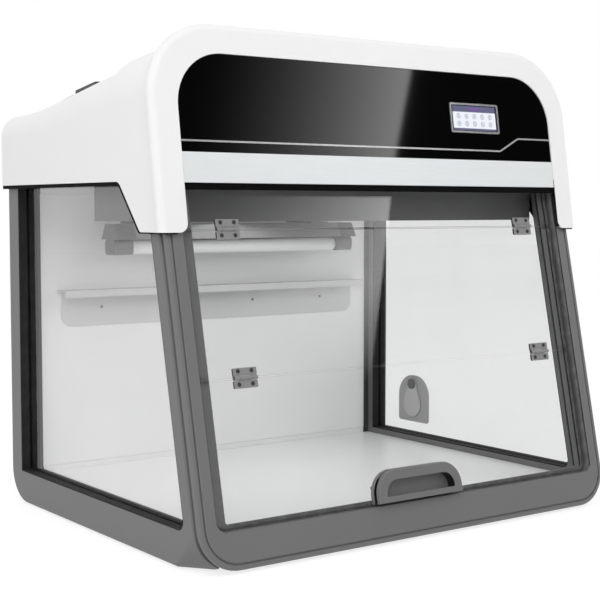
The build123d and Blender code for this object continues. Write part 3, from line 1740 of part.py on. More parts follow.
with BuildPart() as mains_inlet:
    add(
        through_rear(
            inlet_place,
            inlet_width + 2 * flange_lap,
            inlet_tall + 2 * flange_lap,
            flange_thickness,
            service_floor_y + flange_thickness,
            flange_lap,
        )
    )
    add(through_rear(inlet_place, inlet_width, inlet_tall, inlet_depth, service_floor_y))
    add(
        through_rear(
            inlet_place,
            inlet_width - 2 * inlet_wall,
            inlet_tall - 2 * inlet_wall,
            inlet_cavity,
            service_floor_y + flange_thickness,
        ),
        mode=Mode.SUBTRACT,
    )
    pin_start = service_floor_y + flange_thickness - inlet_cavity
    with BuildSketch(Plane.XZ.offset(-pin_start)):
        with Locations((inlet_x, inlet_height - inlet_pin_drop)):
            with GridLocations(inlet_pin_pitch * 2, 1, 2, 1):
                Rectangle(inlet_pin_width, inlet_pin_height)
        with Locations((inlet_x, inlet_height + inlet_pin_drop)):
            Rectangle(inlet_pin_width, inlet_pin_height)
    extrude(amount=-inlet_pin_length)
save(mains_inlet, "mains_inlet")

rocker_axis_y = service_floor_y - rocker_axis_depth

with BuildPart() as switch_body:
    add(
        through_rear(
            rocker_place,
            switch_width + 2 * flange_lap,
            switch_tall + 2 * flange_lap,
            flange_thickness,
            service_floor_y + flange_thickness,
            flange_lap,
        )
    )
    add(through_rear(rocker_place, switch_width, switch_tall, switch_depth, service_floor_y))
    add(
        through_rear(
            rocker_place,
            rocker_width,
            rocker_tall,
            switch_depth + flange_thickness - inlet_wall,
            service_floor_y + flange_thickness,
        ),
        mode=Mode.SUBTRACT,
    )
    with BuildSketch(Plane.YZ.offset(rocker_x - switch_width / 2)):
        with Locations((rocker_axis_y, inlet_height)):
            Circle(rocker_pin_diameter / 2 + shaft_clearance)
    extrude(amount=switch_width, mode=Mode.SUBTRACT)
save(switch_body, "switch_body")

rocker_half = rocker_tall / 2 - rocker_end_gap
rocker_length = rocker_width - 2 * port_gap
rocker_face = rocker_axis_depth + flange_thickness

with BuildPart() as switch_rocker:
    with BuildSketch(
        Plane(
            origin=(rocker_x - rocker_length / 2, rocker_axis_y, inlet_height),
            x_dir=(0, cos(radians(rocker_tilt)), -sin(radians(rocker_tilt))),
            z_dir=(1, 0, 0),
        )
    ):
        with BuildLine():
            Polyline(
                (rocker_face, rocker_half),
                (rocker_face - rocker_dip, 0),
                (rocker_face, -rocker_half),
                (-rocker_foot, -rocker_half / 2),
                (-rocker_foot, rocker_half / 2),
                close=True,
            )
        make_face()
    extrude(amount=rocker_length)
    with BuildSketch(Plane.YZ.offset(rocker_x - switch_width / 2)):
        with Locations((rocker_axis_y, inlet_height)):
            Circle(rocker_pin_diameter / 2)
    extrude(amount=switch_width)
save(switch_rocker, "switch_rocker")

# Lamp ballast on the ceiling plate
ballast_x = ballast_side_inset - inner_half
ballast_y = rear_y - ballast_rear_inset

with BuildPart() as lamp_ballast:
    with BuildSketch(Plane.XY.offset(ceiling_top)):
        with Locations((ballast_x, ballast_y)):
            Rectangle(ballast_length, ballast_width)
    extrude(amount=ballast_height)
    chamfer(lamp_ballast.edges().group_by(Axis.Z)[-1], ballast_chamfer)
save(lamp_ballast, "lamp_ballast")
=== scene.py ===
import json
import math

import bmesh
import bpy
from mathutils import Matrix, Vector


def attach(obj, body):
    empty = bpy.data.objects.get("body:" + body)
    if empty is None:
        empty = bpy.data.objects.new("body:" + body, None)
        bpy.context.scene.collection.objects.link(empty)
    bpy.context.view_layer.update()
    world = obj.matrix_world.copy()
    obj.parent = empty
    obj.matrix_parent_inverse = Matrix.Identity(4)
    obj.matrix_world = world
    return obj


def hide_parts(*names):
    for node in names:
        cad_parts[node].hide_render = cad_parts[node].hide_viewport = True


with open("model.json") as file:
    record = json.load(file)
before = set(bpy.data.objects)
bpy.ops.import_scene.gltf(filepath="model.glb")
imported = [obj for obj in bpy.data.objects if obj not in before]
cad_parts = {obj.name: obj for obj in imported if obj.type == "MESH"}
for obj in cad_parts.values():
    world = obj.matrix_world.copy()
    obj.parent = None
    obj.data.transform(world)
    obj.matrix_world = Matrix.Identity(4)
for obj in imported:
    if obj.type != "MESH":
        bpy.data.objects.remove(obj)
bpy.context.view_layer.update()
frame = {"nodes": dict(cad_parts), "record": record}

MM = 0.001

# View of the photograph
CAMERA_PLACE = (-1.3213, -1.8051, 0.4994)
CAMERA_YAW = 35.95
CAMERA_PITCH = -3.93
CAMERA_LENS = 79.29
CAMERA_SENSOR = 36.0

# Slants of the front frame and of the hood's face
FRONT_SLANT = math.radians(12.0)
HOOD_SLANT = math.radians(8.6)
FRONT_NORMAL = Vector((0, -math.cos(FRONT_SLANT), math.sin(FRONT_SLANT)))

# Other directions
TO_LEFT = (-1, 0, 0)
TO_RIGHT = (1, 0, 0)
TO_FRONT = (0, -1, 0)
TO_REAR = Vector((0, 1, 0))


def foremost(name):
    """How far a node reaches along the front frame's normal."""
    return max(vertex.co.dot(FRONT_NORMAL) for vertex in frame["nodes"][name].data.vertices)


HANDLE_FACE = foremost("door_handle")
FRAME_FACE = foremost("front_frame")

# Where patches of another grey lie, in metres: most are painted shade, one is the wall's colour
REVEAL_X = (0.3, 0.39)
LIP_X = (0.361, 0.375)
LIP_DEPTH = (FRAME_FACE - 0.016, FRAME_FACE - 0.008)
HOOD_LEG_X = (0.3, 0.41)
HOOD_LEG_Z = (0.4, 0.55)
GRIP_END_X = (-0.02, 0.08)
GRIP_MIDDLE_X = (-0.084, 0.058)
GRIP_GROOVE_DEPTH = (HANDLE_FACE - 0.0125, HANDLE_FACE - 0.0065)
REAR_PANEL_X = (-0.353, 0.353)

# Greys as they look on a screen, 0 to 255
FRAME_GREY = 112
HOOD_WHITE = 244
WALL_WHITE = 247
FASCIA_BLACK = 8
HINGE_GREY = 136
HANDLE_GREY = 112

# The lit page of the touch screen, in millimetres from the screen's middle
SCREEN_MIDDLE = Vector((197.5, -200.08, 648.28))
PAGE_HALF_WIDTH = 47.5
PAGE_HALF_HEIGHT = 20.2
HEADER_HEIGHT = 10.0
FOOT_BAR_HEIGHT = 3.4
HEADER_MARK_HALF_WIDTH = 9
HEADER_MARK_MARGIN = 2.6
KEY_ROWS = (3.1, -9.2)
KEY_COLUMNS = (-2, -1, 0, 1, 2)
KEY_PITCH = 17.5
KEY_RADIUS = 4.1
KEY_HOLE_RADIUS = 3.1
KEY_DOT_RADIUS = 1.3
LAYER_RISE = 0.02
PAGE, BAR, MARK, KEY = range(4)

# Screws: shares of the head's radius and height
PAN_HEAD = ((0.99, 0.0), (1.0, 0.12), (0.985, 0.45), (0.9, 0.72), (0.72, 0.9), (0.45, 0.98),
            (0.12, 1.0))
RECESS_ARM = 0.62
RECESS_WIDTH = 0.13
RECESS_DEPTH = 0.6
RECESS_TAPER = 0.55
TIP_SHARE = 0.7
TIP_HEIGHT = 0.5 * MM
RIM_SHARE = 0.9
STAND_IN_SHANK = 1.0
TOUCHING = 1e-6
LEVEL = 1e-5

# Studio card that the fascia and the panes reflect, in metres
CARD_PLACE = (1.7615, -2.5907, 1.1467)
CARD_FACING = (0.5872, -0.7802, 0.2156)
CARD_HALF = 1.25
CARD_EDGE_SLOPE = 0.378
CARD_EDGE_START = 0.195
CARD_FADE_WIDTH = 0.9
CARD_FADE_POWER = 2.4
CARD_FADE_Y = (-0.3, 0.05)
CARD_GLOW = 4.2

# Floor
FLOOR_HALF = 12.0
FLOOR_BOUNCE = 0.8
FLOOR_MATT = 0.3
FLOOR_LIFT = 0.8


def tone(level):
    """A grey or a triple of levels, 0 to 255 on a screen, as the linear colour of shaders."""
    levels = level if isinstance(level, tuple) else (level, level, level)
    shares = [part / 255 for part in levels]
    linear = [s / 12.92 if s <= 0.04045 else ((s + 0.055) / 1.055) ** 2.4 for s in shares]
    return (*linear, 1.0)


def scaled(colour, factor, limit=math.inf):
    """A colour made lighter or darker, with no part above the limit."""
    return (*(min(part * factor, limit) for part in colour[:3]), 1.0)


# Node graphs


def mix_shaders(tree, share, first, second):
    """A shader that goes from first to second as the socket share goes from 0 to 1."""
    mix = tree.nodes.new("ShaderNodeMixShader")
    for socket, source in zip(mix.inputs, (share, first, second)):
        tree.links.new(source, socket)
    return mix.outputs["Shader"]


class Finish:
    """A material with one Principled shader, and short names for the nodes that feed it."""

    def __init__(self, name, roughness=0.5, metallic=0.0, specular=0.5):
        self.material = bpy.data.materials.new(name)
        self.material.use_nodes = True
        self.tree = self.material.node_tree
        self.tree.nodes.clear()
        self.surface = self.add("ShaderNodeOutputMaterial").inputs["Surface"]
        self.shader = self.add("ShaderNodeBsdfPrincipled")
        self.shader.inputs["Roughness"].default_value = roughness
        self.shader.inputs["Metallic"].default_value = metallic
        self.shader.inputs["Specular IOR Level"].default_value = specular
        self.join(self.shader.outputs["BSDF"], self.surface)
        coordinates = self.add("ShaderNodeTexCoord")
        self.place = coordinates.outputs["Object"]
        self.outward = coordinates.outputs["Normal"]
        self.normal = None

    def add(self, kind, **settings):
        node = self.tree.nodes.new(kind)
        for key, value in settings.items():
            setattr(node, key, value)
        return node

    def join(self, source, target):
        self.tree.links.new(source, target)

    def stretched(self, scale):
        """Object coordinates scaled by different amounts along X, Y and Z."""
        mapping = self.add("ShaderNodeMapping")
        mapping.inputs["Scale"].default_value = scale
        self.join(self.place, mapping.inputs["Vector"])
        return mapping.outputs["Vector"]

    def noise(self, scale, detail=3.0, roughness=0.55, along=(1, 1, 1)):
        """Noise from 0 to 1. scale is in cells per metre."""
        texture = self.add("ShaderNodeTexNoise")
        texture.inputs["Scale"].default_value = scale
        texture.inputs["Detail"].default_value = detail
        texture.inputs["Roughness"].default_value = roughness
        self.join(self.stretched(along), texture.inputs["Vector"])
        return texture.outputs["Fac"]

    def spread(self, value, low, high, start=0.25, stop=0.75):
        """value from start to stop becomes low to high."""
        ranged = self.add("ShaderNodeMapRange")
        limits = {"From Min": start, "From Max": stop, "To Min": low, "To Max": high}
        for name, number in limits.items():
            ranged.inputs[name].default_value = number
        self.join(value, ranged.inputs["Value"])
        return ranged.outputs["Result"]

    def calculate(self, operation, *values):
        """Maths on sockets or numbers."""
        node = self.add("ShaderNodeMath", operation=operation)
        for socket, value in zip(node.inputs, values):
            if isinstance(value, (int, float)):
                socket.default_value = value
            else:
                self.join(value, socket)
        return node.outputs["Value"]

    def blend(self, share, first, second):
        """A mix of two colours, each a colour or a socket, by the socket share."""
        node = self.add("ShaderNodeMix", data_type="RGBA")
        self.join(share, node.inputs["Factor"])
        for socket, value in zip((node.inputs[6], node.inputs[7]), (first, second)):
            if isinstance(value, tuple):
                socket.default_value = value
            else:
                self.join(value, socket)
        return node.outputs[2]

    def dot(self, vector, direction):
        """A vector socket's length along a fixed direction."""
        product = self.add("ShaderNodeVectorMath", operation="DOT_PRODUCT")
        self.join(vector, product.inputs[0])
        product.inputs[1].default_value = direction
        return product.outputs["Value"]

    def axes(self):
        """The object coordinates as sockets named X, Y and Z."""
        apart = self.add("ShaderNodeSeparateXYZ")
        self.join(self.place, apart.inputs["Vector"])
        return apart.outputs

    def overlap(self, *masks):
        """1 where every mask is 1, 0 elsewhere."""
        whole = masks[0]
        for mask in masks[1:]:
            whole = self.calculate("MULTIPLY", whole, mask)
        return whole

    def band(self, value, low, high):
        """1 where a socket lies between low and high, 0 elsewhere."""
        above = self.calculate("GREATER_THAN", value, low)
        return self.overlap(above, self.calculate("LESS_THAN", value, high))

    def facing(self, direction, least):
        """1 where the surface looks along a direction, 0 elsewhere."""
        return self.calculate("GREATER_THAN", self.dot(self.outward, direction), least)

    def within(self, axis, low, high):
        """1 where a coordinate in metres lies between low and high, 0 elsewhere."""
        return self.band(self.axes()[axis], low, high)

    def between(self, direction, low, high):
        """1 where the metres along a direction lie between low and high, 0 elsewhere."""
        return self.band(self.dot(self.place, direction), low, high)

    def edges(self, radius):
        """1 on edges sharper than radius, 0 on flat stretches. It rounds the normal there."""
        bevel = self.add("ShaderNodeBevel", samples=4)
        bevel.inputs["Radius"].default_value = radius
        geometry = self.add("ShaderNodeNewGeometry")
        product = self.add("ShaderNodeVectorMath", operation="DOT_PRODUCT")
        self.join(bevel.outputs["Normal"], product.inputs[0])
        self.join(geometry.outputs["Normal"], product.inputs[1])
        self.normal = bevel.outputs["Normal"]
        return self.spread(product.outputs["Value"], 1.0, 0.0, start=0.86, stop=0.995)

    def bump(self, height, distance):
        """Adds a height map, distance in metres from lowest to highest, to the normal."""
        node = self.add("ShaderNodeBump")
        node.inputs["Strength"].default_value = 1.0
        node.inputs["Distance"].default_value = distance
        self.join(height, node.inputs["Height"])
        if self.normal is not None:
            self.join(self.normal, node.inputs["Normal"])
        self.normal = node.outputs["Normal"]

    def colour(self, source):
        self.join(source, self.shader.inputs["Base Color"])

    def roughness(self, source):
        self.join(source, self.shader.inputs["Roughness"])

    def done(self):
        if self.normal is not None:
            self.join(self.normal, self.shader.inputs["Normal"])
        return self.material


# Finishes


def moulded(name, grey, rough=(0.4, 0.52), grain=2600, height=0.00003, edge=1.25, radius=0.0009,
            variation=0.05, patches=()):
    """Moulded or painted plastic: fine grain, faint cloudiness, edges a little worn and rounded.

    patches are pairs of a function that makes a mask and the grey inside it; the dark greys are
    painted shade.
    """
    finish = Finish(name)
    base = tone(grey)
    clouds = finish.noise(9, detail=4)
    body = finish.blend(clouds, scaled(base, 1 - variation), scaled(base, 1 + variation, 0.92))
    wear = finish.spread(finish.noise(160, detail=4), 0.15, 1.0)
    rubbed = finish.calculate("MULTIPLY", finish.edges(radius), wear)
    painted = finish.blend(rubbed, body, scaled(base, edge, 0.95))
    # Patches: dark ones are painted shade in recesses and on sides turned from the light
    for mask, patch_grey in patches:
        patch = tone(patch_grey)
        cloudy_patch = finish.blend(clouds, scaled(patch, 0.9), patch)
        painted = finish.blend(mask(finish), painted, cloudy_patch)
    finish.colour(painted)
    finish.roughness(finish.spread(finish.noise(420, detail=2), *rough))
    finish.bump(finish.noise(grain, detail=2), height)
    return finish.done()


def brushed(name, grey, along, rough, metallic, variation):
    """Brushed sheet metal: fine lines along one axis in colour, roughness and height."""
    finish = Finish(name, metallic=metallic)
    squeeze = [0.012 if axis in along else 1.0 for axis in "xyz"]
    hair = finish.noise(2400, detail=4, roughness=0.7, along=squeeze)
    base = tone(grey)
    share = finish.spread(hair, 0.0, 1.0, start=0.3, stop=0.7)
    light = scaled(base, 1 + variation, 0.97)
    finish.colour(finish.blend(share, scaled(base, 1 - variation), light))
    finish.roughness(finish.spread(hair, *rough))
    finish.edges(radius=0.0004)
    finish.bump(hair, distance=0.00002)
    return finish.done()


def sheet_steel(name, grey, rough=(0.35, 0.5)):
    """Plain machined or plated steel with faint cloudy stains and tool marks."""
    finish = Finish(name, metallic=0.85)
    base = tone(grey)
    stains = finish.noise(70, detail=5, roughness=0.6)
    finish.colour(finish.blend(stains, scaled(base, 0.8), base))
    finish.roughness(finish.spread(finish.noise(900), *rough))
    finish.edges(radius=0.0003)
    finish.bump(finish.noise(1800), distance=0.00002)
    return finish.done()


def rubber(name, grey, specular=0.25, grain=3200):
    """Matt elastomer: grainy, with a faint bloom of grey."""
    finish = Finish(name, specular=specular)
    base = tone(grey)
    bloom = (*(part * 1.6 + 0.002 for part in base[:3]), 1.0)
    share = finish.spread(finish.noise(60, detail=5), 0, 1, start=0.45, stop=0.8)
    finish.colour(finish.blend(share, base, bloom))
    finish.roughness(finish.spread(finish.noise(700, detail=2), 0.6, 0.8))
    finish.bump(finish.noise(grain), distance=0.00006)
    return finish.done()


def pane(name, flat_normal, clear, edge_grey):
    """Acrylic sheet: clear through its two faces, milky along its sawn edges."""
    finish = Finish(name, roughness=0.35)
    base = tone(edge_grey)
    saw = finish.noise(900, detail=3, roughness=0.6, along=(0.05, 1, 1))
    finish.colour(finish.blend(saw, scaled(base, 0.8), base))
    through = finish.add("ShaderNodeBsdfTransparent")
    dust = finish.spread(finish.noise(14, detail=5), 0.0, 1.0)
    finish.join(finish.blend(dust, scaled(clear, 0.99), (*clear, 1.0)), through.inputs["Color"])
    shine = finish.add("ShaderNodeBsdfGlossy")
    shine.inputs["Color"].default_value = (1, 1, 1, 1)
    smears = finish.spread(finish.noise(30, detail=5, roughness=0.65), 0.012, 0.024)
    finish.join(smears, shine.inputs["Roughness"])
    slant = finish.add("ShaderNodeLayerWeight").outputs["Facing"]
    steepness = finish.calculate("POWER", slant, 5.0)
    mirror = finish.spread(steepness, 0.03, 1.0, start=0.0, stop=1.0)
    face = mix_shaders(finish.tree, mirror, through.outputs["BSDF"], shine.outputs["BSDF"])
    flatness = finish.calculate("ABSOLUTE", finish.dot(finish.outward, flat_normal))
    rim = finish.spread(flatness, 0.72, 0.0, start=0.7, stop=0.95)
    whole = mix_shaders(finish.tree, rim, face, finish.shader.outputs["BSDF"])
    finish.join(whole, finish.surface)
    return finish.material


def glowing(name, grey, variation):
    """Part of a lit display: an even glow with a faint unevenness, under smooth glass."""
    finish = Finish(name, roughness=0.06)
    finish.shader.inputs["Base Color"].default_value = (0.01, 0.01, 0.012, 1)
    base = tone(grey)
    glow = finish.blend(finish.noise(40), scaled(base, 1 - variation), base)
    finish.join(glow, finish.shader.inputs["Emission Color"])
    finish.shader.inputs["Emission Strength"].default_value = 1.0
    return finish.done()


# Masks of patches: most are painted shade, one is the wall's colour


def right_reveal(finish):
    """The right side of the door opening, which looks to the left: a near-black patch here is
    painted shade.
    """
    return finish.overlap(finish.facing(TO_LEFT, least=0.9), finish.within("X", *REVEAL_X))


def right_lip(finish):
    """The outer part of the lip behind the door panes, on the right: a near-black patch here is
    painted shade.
    """
    return finish.overlap(finish.facing(FRONT_NORMAL, least=0.9), finish.within("X", *LIP_X),
                          finish.between(FRONT_NORMAL, *LIP_DEPTH))


def right_return(finish):
    """The inner side of the hood's right leg, painted near-black as shade."""
    return finish.overlap(finish.facing(TO_LEFT, least=0.7), finish.within("X", *HOOD_LEG_X),
                          finish.within("Z", *HOOD_LEG_Z))


def grip_end(finish):
    """The right end wall inside the handle's pocket, painted dark as shade."""
    return finish.overlap(finish.facing(TO_LEFT, least=0.3), finish.within("X", *GRIP_END_X))


def grip_gap(finish):
    """The ends of the groove round the handle's edge, between its flange and its face, painted
    dark as shade.
    """
    ends = finish.calculate("SUBTRACT", 1.0, finish.within("X", *GRIP_MIDDLE_X))
    return finish.overlap(finish.between(FRONT_NORMAL, *GRIP_GROOVE_DEPTH), ends)


def inner_face(finish):
    """The face that looks into the chamber, where the rear posts get a dark painted shade."""
    return finish.facing(TO_FRONT, least=0.5)


def inner_top(finish):
    """The part of that face between the rear posts."""
    return finish.overlap(inner_face(finish), finish.within("X", *REAR_PANEL_X))


def left_end(finish):
    """The sides of the hinges that look to the left, painted dark as shade."""
    return finish.facing(TO_LEFT, least=0.8)


# Materials of the CAD nodes


def finish_nodes():
    """Gives every node of the model its material."""
    grey_frame = moulded("frame_grey", FRAME_GREY)
    # The front frame's right reveal and right lip get near-black painted shade
    shaded_frame = moulded("frame_painted_shade", FRAME_GREY,
                          patches=((right_reveal, 20), (right_lip, 20)))
    # The rear posts' chamber side is painted dark as shade; the bar between them gets the wall's
    # colour
    shaded_rear_frame = moulded("frame_backed", FRAME_GREY,
                           patches=((inner_face, 62), (inner_top, WALL_WHITE)))
    # The white shell carries a near-black painted shade on the inner side of its right leg
    white_shell = moulded("shell_white", HOOD_WHITE, rough=(0.28, 0.4), grain=3200,
                          height=0.000012, edge=1.0, variation=0.015,
                          patches=((right_return, 10),))
    wall = moulded("wall_pale", WALL_WHITE, rough=(0.35, 0.5), height=0.00001, edge=1.0,
                   variation=0.02)
    surface = moulded("floor_pale", WALL_WHITE, rough=(0.3, 0.45), height=0.00001, edge=1.0,
                      variation=0.02)
    steel = sheet_steel("steel_plain", 150)
    dark_steel = sheet_steel("steel_dark", 84, rough=(0.3, 0.5))
    # The hinges' left-facing sides are painted dark as shade
    hinge = moulded("hinge_grey", HINGE_GREY, rough=(0.35, 0.5), edge=1.3, radius=0.0004,
                    patches=((left_end, 20),))
    # The handle's pocket end and groove ends are painted dark as shade
    handle = moulded("handle_grey", HANDLE_GREY, rough=(0.35, 0.5), edge=1.2,
                     patches=((grip_end, 26), (grip_gap, 18)))
    front_clear = pane("pane_clear", FRONT_NORMAL, (0.985, 0.988, 0.988), 88)
    left_clear = pane("window_left", TO_RIGHT, (0.995, 0.995, 0.995), 120)
    right_clear = pane("window_right", TO_RIGHT, (0.93, 0.93, 0.93), 120)
    black_seal = rubber("seal_black", 4, specular=0.08)
    fascia = moulded("fascia_black", FASCIA_BLACK, rough=(0.03, 0.05), height=0.000001,
                     edge=1.0, variation=0.0)
    strip = brushed("brushed_metal", (236, 240, 241), "x", rough=(0.3, 0.42), metallic=0.2,
                    variation=0.05)
    given = {
        "front_frame": shaded_frame,
        "left_side_frame": grey_frame,
        "right_side_frame": grey_frame,
        "rear_frame": shaded_rear_frame,
        "hood_shell": white_shell,
        "rear_panel": wall,
        "work_surface": surface,
        "base_tray": moulded("tray_grey", 92),
        "rubber_feet": rubber("foot_rubber", 30),
        "rear_panel_screws": steel,
        "hood_screws": steel,
        "rack_screws": steel,
        "left_window": left_clear,
        "right_window": right_clear,
        "window_gaskets": rubber("gasket_black", 30),
        "door_gasket": rubber("door_seal", 104, grain=1200),
        "fixed_top_pane": front_clear,
        "middle_pane": front_clear,
        "lower_pane": front_clear,
        "upper_hinge_fixed_leaves": hinge,
        "upper_hinge_moving_leaves": hinge,
        "lower_hinge_upper_leaves": hinge,
        "lower_hinge_lower_leaves": hinge,
        "upper_hinge_pins": steel,
        "lower_hinge_pins": steel,
        "fixed_hinge_screws": dark_steel,
        "middle_hinge_screws": dark_steel,
        "lower_door_screws": dark_steel,
        "door_handle": handle,
        "hood_seal": black_seal,
        "sill_seal": black_seal,
        "fascia_carrier": sheet_steel("carrier_metal", 120),
        "fascia_panel": fascia,
        "metal_strip": strip,
        "trim_line": sheet_steel("trim_light", 228, rough=(0.25, 0.35)),
        "screen_bezel": sheet_steel("bezel_silver", 200, rough=(0.2, 0.35)),
        "touch_screen": moulded("screen_face", (24, 28, 60), rough=(0.05, 0.1),
                                height=0.000001, edge=1.0),
        "control_board": moulded("board_green", (30, 92, 52), rough=(0.3, 0.5)),
        "intake_caps": moulded("intake_black", 62, rough=(0.4, 0.55)),
        "hood_brackets": steel,
        "ceiling_plate": moulded("ceiling_pale", 215, height=0.00002),
        "filter_box": moulded("box_grey", 104, rough=(0.35, 0.5)),
        "fine_filter": moulded("filter_white", 236, rough=(0.8, 0.95)),
        "blower_housing": moulded("housing_grey", 70),
        "blower_motor": dark_steel,
        "fan_shaft": steel,
        "fan_impeller": moulded("impeller_black", 40),
        "prefilter": moulded("prefilter_white", 228, rough=(0.85, 0.95)),
        "lamp_reflector": moulded("lamp_white", 150, rough=(0.25, 0.4)),
        "lamp_holders": moulded("lamp_end_dark", 120),
        "lamp_tube": moulded("lamp_glass", 236, rough=(0.12, 0.2), height=0.000002, edge=1.0),
        "lamp_brackets": steel,
        "lamp_ballast": moulded("ballast_grey", 180),
        "pipette_rack": moulded("rack_grey", 214),
        "port_plate": moulded("port_grey", 166),
        "port_flap": moulded("flap_grey", 186),
        "port_pin": moulded("port_dark", 104),
        "mains_inlet": moulded("inlet_black", 26, rough=(0.3, 0.45)),
        "switch_body": moulded("switch_black", 24, rough=(0.3, 0.45)),
        "switch_rocker": moulded("rocker_red", (190, 34, 30), rough=(0.2, 0.35)),
    }
    for name, node in frame["nodes"].items():
        node.data.materials.clear()
        node.data.materials.append(given[name])


# Pieces added to the CAD model


def placed(name, data):
    """A new object in the scene."""
    piece = bpy.data.objects.new(name, data)
    bpy.context.scene.collection.objects.link(piece)
    return piece


def to_object(name, mesh):
    """A new object of a bmesh, which is used up."""
    data = bpy.data.meshes.new(name)
    bmesh.ops.recalc_face_normals(mesh, faces=mesh.faces)
    mesh.to_mesh(data)
    mesh.free()
    return placed(name, data)


def body_of(name):
    """The body that a node rides on."""
    for body, members in frame["record"]["behaviour"]["bodies"].items():
        if name in members:
            return body
    raise KeyError(name)


def islands(node):
    """The separate solids of a node's mesh, as lists of points."""
    mesh = bmesh.new()
    mesh.from_mesh(node.data)
    bmesh.ops.remove_doubles(mesh, verts=mesh.verts, dist=TOUCHING)
    seen = set()
    found = []
    for start in mesh.verts:
        if start in seen:
            continue
        seen.add(start)
        stack = [start]
        points = []
        while stack:
            vertex = stack.pop()
            points.append(vertex.co.copy())
            for edge in vertex.link_edges:
                other = edge.other_vert(vertex)
                if other not in seen:
                    seen.add(other)
                    stack.append(other)
        found.append(points)
    mesh.free()
    return found


def round_outline(x, y, radius, steps):
    """Points round a circle."""
    turns = [2 * math.pi * i / steps for i in range(steps)]
    return [(x + radius * math.cos(turn), y + radius * math.sin(turn)) for turn in turns]


def lathe(mesh, profile, steps=40):
    """Turns a profile of (radius, height) round Z, closed at both ends."""
    rings = []
    for radius, height in profile:
        outline = round_outline(0, 0, radius, steps)
        rings.append([mesh.verts.new((x, y, height)) for x, y in outline])
    for low, high in zip(rings, rings[1:]):
        for i in range(steps):
            j = (i + 1) % steps
            mesh.faces.new((low[i], low[j], high[j], high[i]))
    mesh.faces.new(reversed(rings[0]))
    mesh.faces.new(rings[-1])


def cross_cutter(mesh, arm, width, top, depth):
    """A cross with tapered arms that cuts the recess of a screw head."""
    quads = ((0, 1, 2, 3), (7, 6, 5, 4), (0, 4, 5, 1), (1, 5, 6, 2), (2, 6, 7, 3), (3, 7, 4, 0))
    for order in (1, -1):
        corners = []
        for height, share in ((top + depth, 1.0), (top - depth, RECESS_TAPER)):
            for x, y in ((-1, -1), (1, -1), (1, 1), (-1, 1)):
                spot = (x * arm * share, y * width * share)[::order]
                corners.append(mesh.verts.new((*spot, height)))
        for quad in quads:
            mesh.faces.new([corners[i] for i in quad])


def screw_template(head, head_height, shank):
    """A pan headed screw along Z with a cross recess and the stand-in shank.

    Its head stands on z = 0.
    """
    turned = bmesh.new()
    lathe(turned, [
        (shank * TIP_SHARE, -STAND_IN_SHANK), (shank, -STAND_IN_SHANK + TIP_HEIGHT), (shank, 0.0),
        *((head * radius, head_height * height) for radius, height in PAN_HEAD),
    ])
    blank = to_object("screw_blank", turned)
    tool = bmesh.new()
    cross_cutter(tool, head * RECESS_ARM, head * RECESS_WIDTH, head_height,
                 head_height * RECESS_DEPTH)
    cutter = to_object("screw_cutter", tool)
    cut = blank.modifiers.new("recess", "BOOLEAN")
    cut.operation = "DIFFERENCE"
    cut.solver = "EXACT"
    cut.use_self = True
    cut.object = cutter
    graph = bpy.context.evaluated_depsgraph_get()
    mesh = bpy.data.meshes.new_from_object(blank.evaluated_get(graph))
    bpy.data.objects.remove(blank)
    bpy.data.objects.remove(cutter)
    return mesh


def make_screws(name, axis):
    """Detailed screws in place of a node's plain ones, each along the axis or against it."""
    node = frame["nodes"][name]
    whole = bmesh.new()
    for points in islands(node):
        middle = sum((Vector(map(min, *points)), Vector(map(max, *points))), Vector()) / 2
        along = [(point - middle).dot(axis) for point in points]
        reach = [(point - middle - axis * a).length for point, a in zip(points, along)]
        low, high = min(along), max(along)
        head = max(reach)
        rim = [a for a, radius in zip(along, reach) if radius > RIM_SHARE * head]
        head_low, head_high = min(rim), max(rim)
        head_height = head_high - head_low
        outward = axis if head_high > high - LEVEL else -axis
        seat = head_low if outward == axis else -head_high
        length = (high - low) - head_height
        mesh = screw_template(head, head_height, min(reach))
        for vertex in mesh.vertices:
            if vertex.co.z < -TOUCHING:
                vertex.co.z = -length + (vertex.co.z + STAND_IN_SHANK)
        turn = outward.to_track_quat("Z", "Y").to_matrix().to_4x4()
        mesh.transform(Matrix.Translation(middle + outward * seat) @ turn)
        whole.from_mesh(mesh)
        bpy.data.meshes.remove(mesh)
    piece = to_object(name + "_detail", whole)
    for polygon in piece.data.polygons:
        polygon.use_smooth = True
    piece.data.set_sharp_from_angle(angle=math.radians(32))
    piece.data.materials.append(node.data.materials[0])
    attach(piece, body_of(name))
    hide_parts(name)


def screen_point(x, y, rise):
    """A place on the touch screen, x right and y up from its middle, in millimetres."""
    up = Vector((0, math.sin(HOOD_SLANT), math.cos(HOOD_SLANT)))
    out = Vector((0, -math.cos(HOOD_SLANT), math.sin(HOOD_SLANT)))
    return (SCREEN_MIDDLE + Vector((x, 0, 0)) + up * y + out * rise) * MM


def display_shape(mesh, outline, slot, layer):
    """A flat shape of the display from an outline in millimetres."""
    rise = LAYER_RISE * layer
    face = mesh.faces.new([mesh.verts.new(screen_point(x, y, rise)) for x, y in outline])
    face.material_index = slot


def display_bar(mesh, half_width, low, high, slot, layer):
    """A rectangle of the display, as far to the left as to the right."""
    outline = [(-half_width, low), (half_width, low), (half_width, high), (-half_width, high)]
    display_shape(mesh, outline, slot, layer)


def display_disc(mesh, x, y, radius, slot, layer):
    """A disc of the display."""
    display_shape(mesh, round_outline(x, y, radius, steps=28), slot, layer)


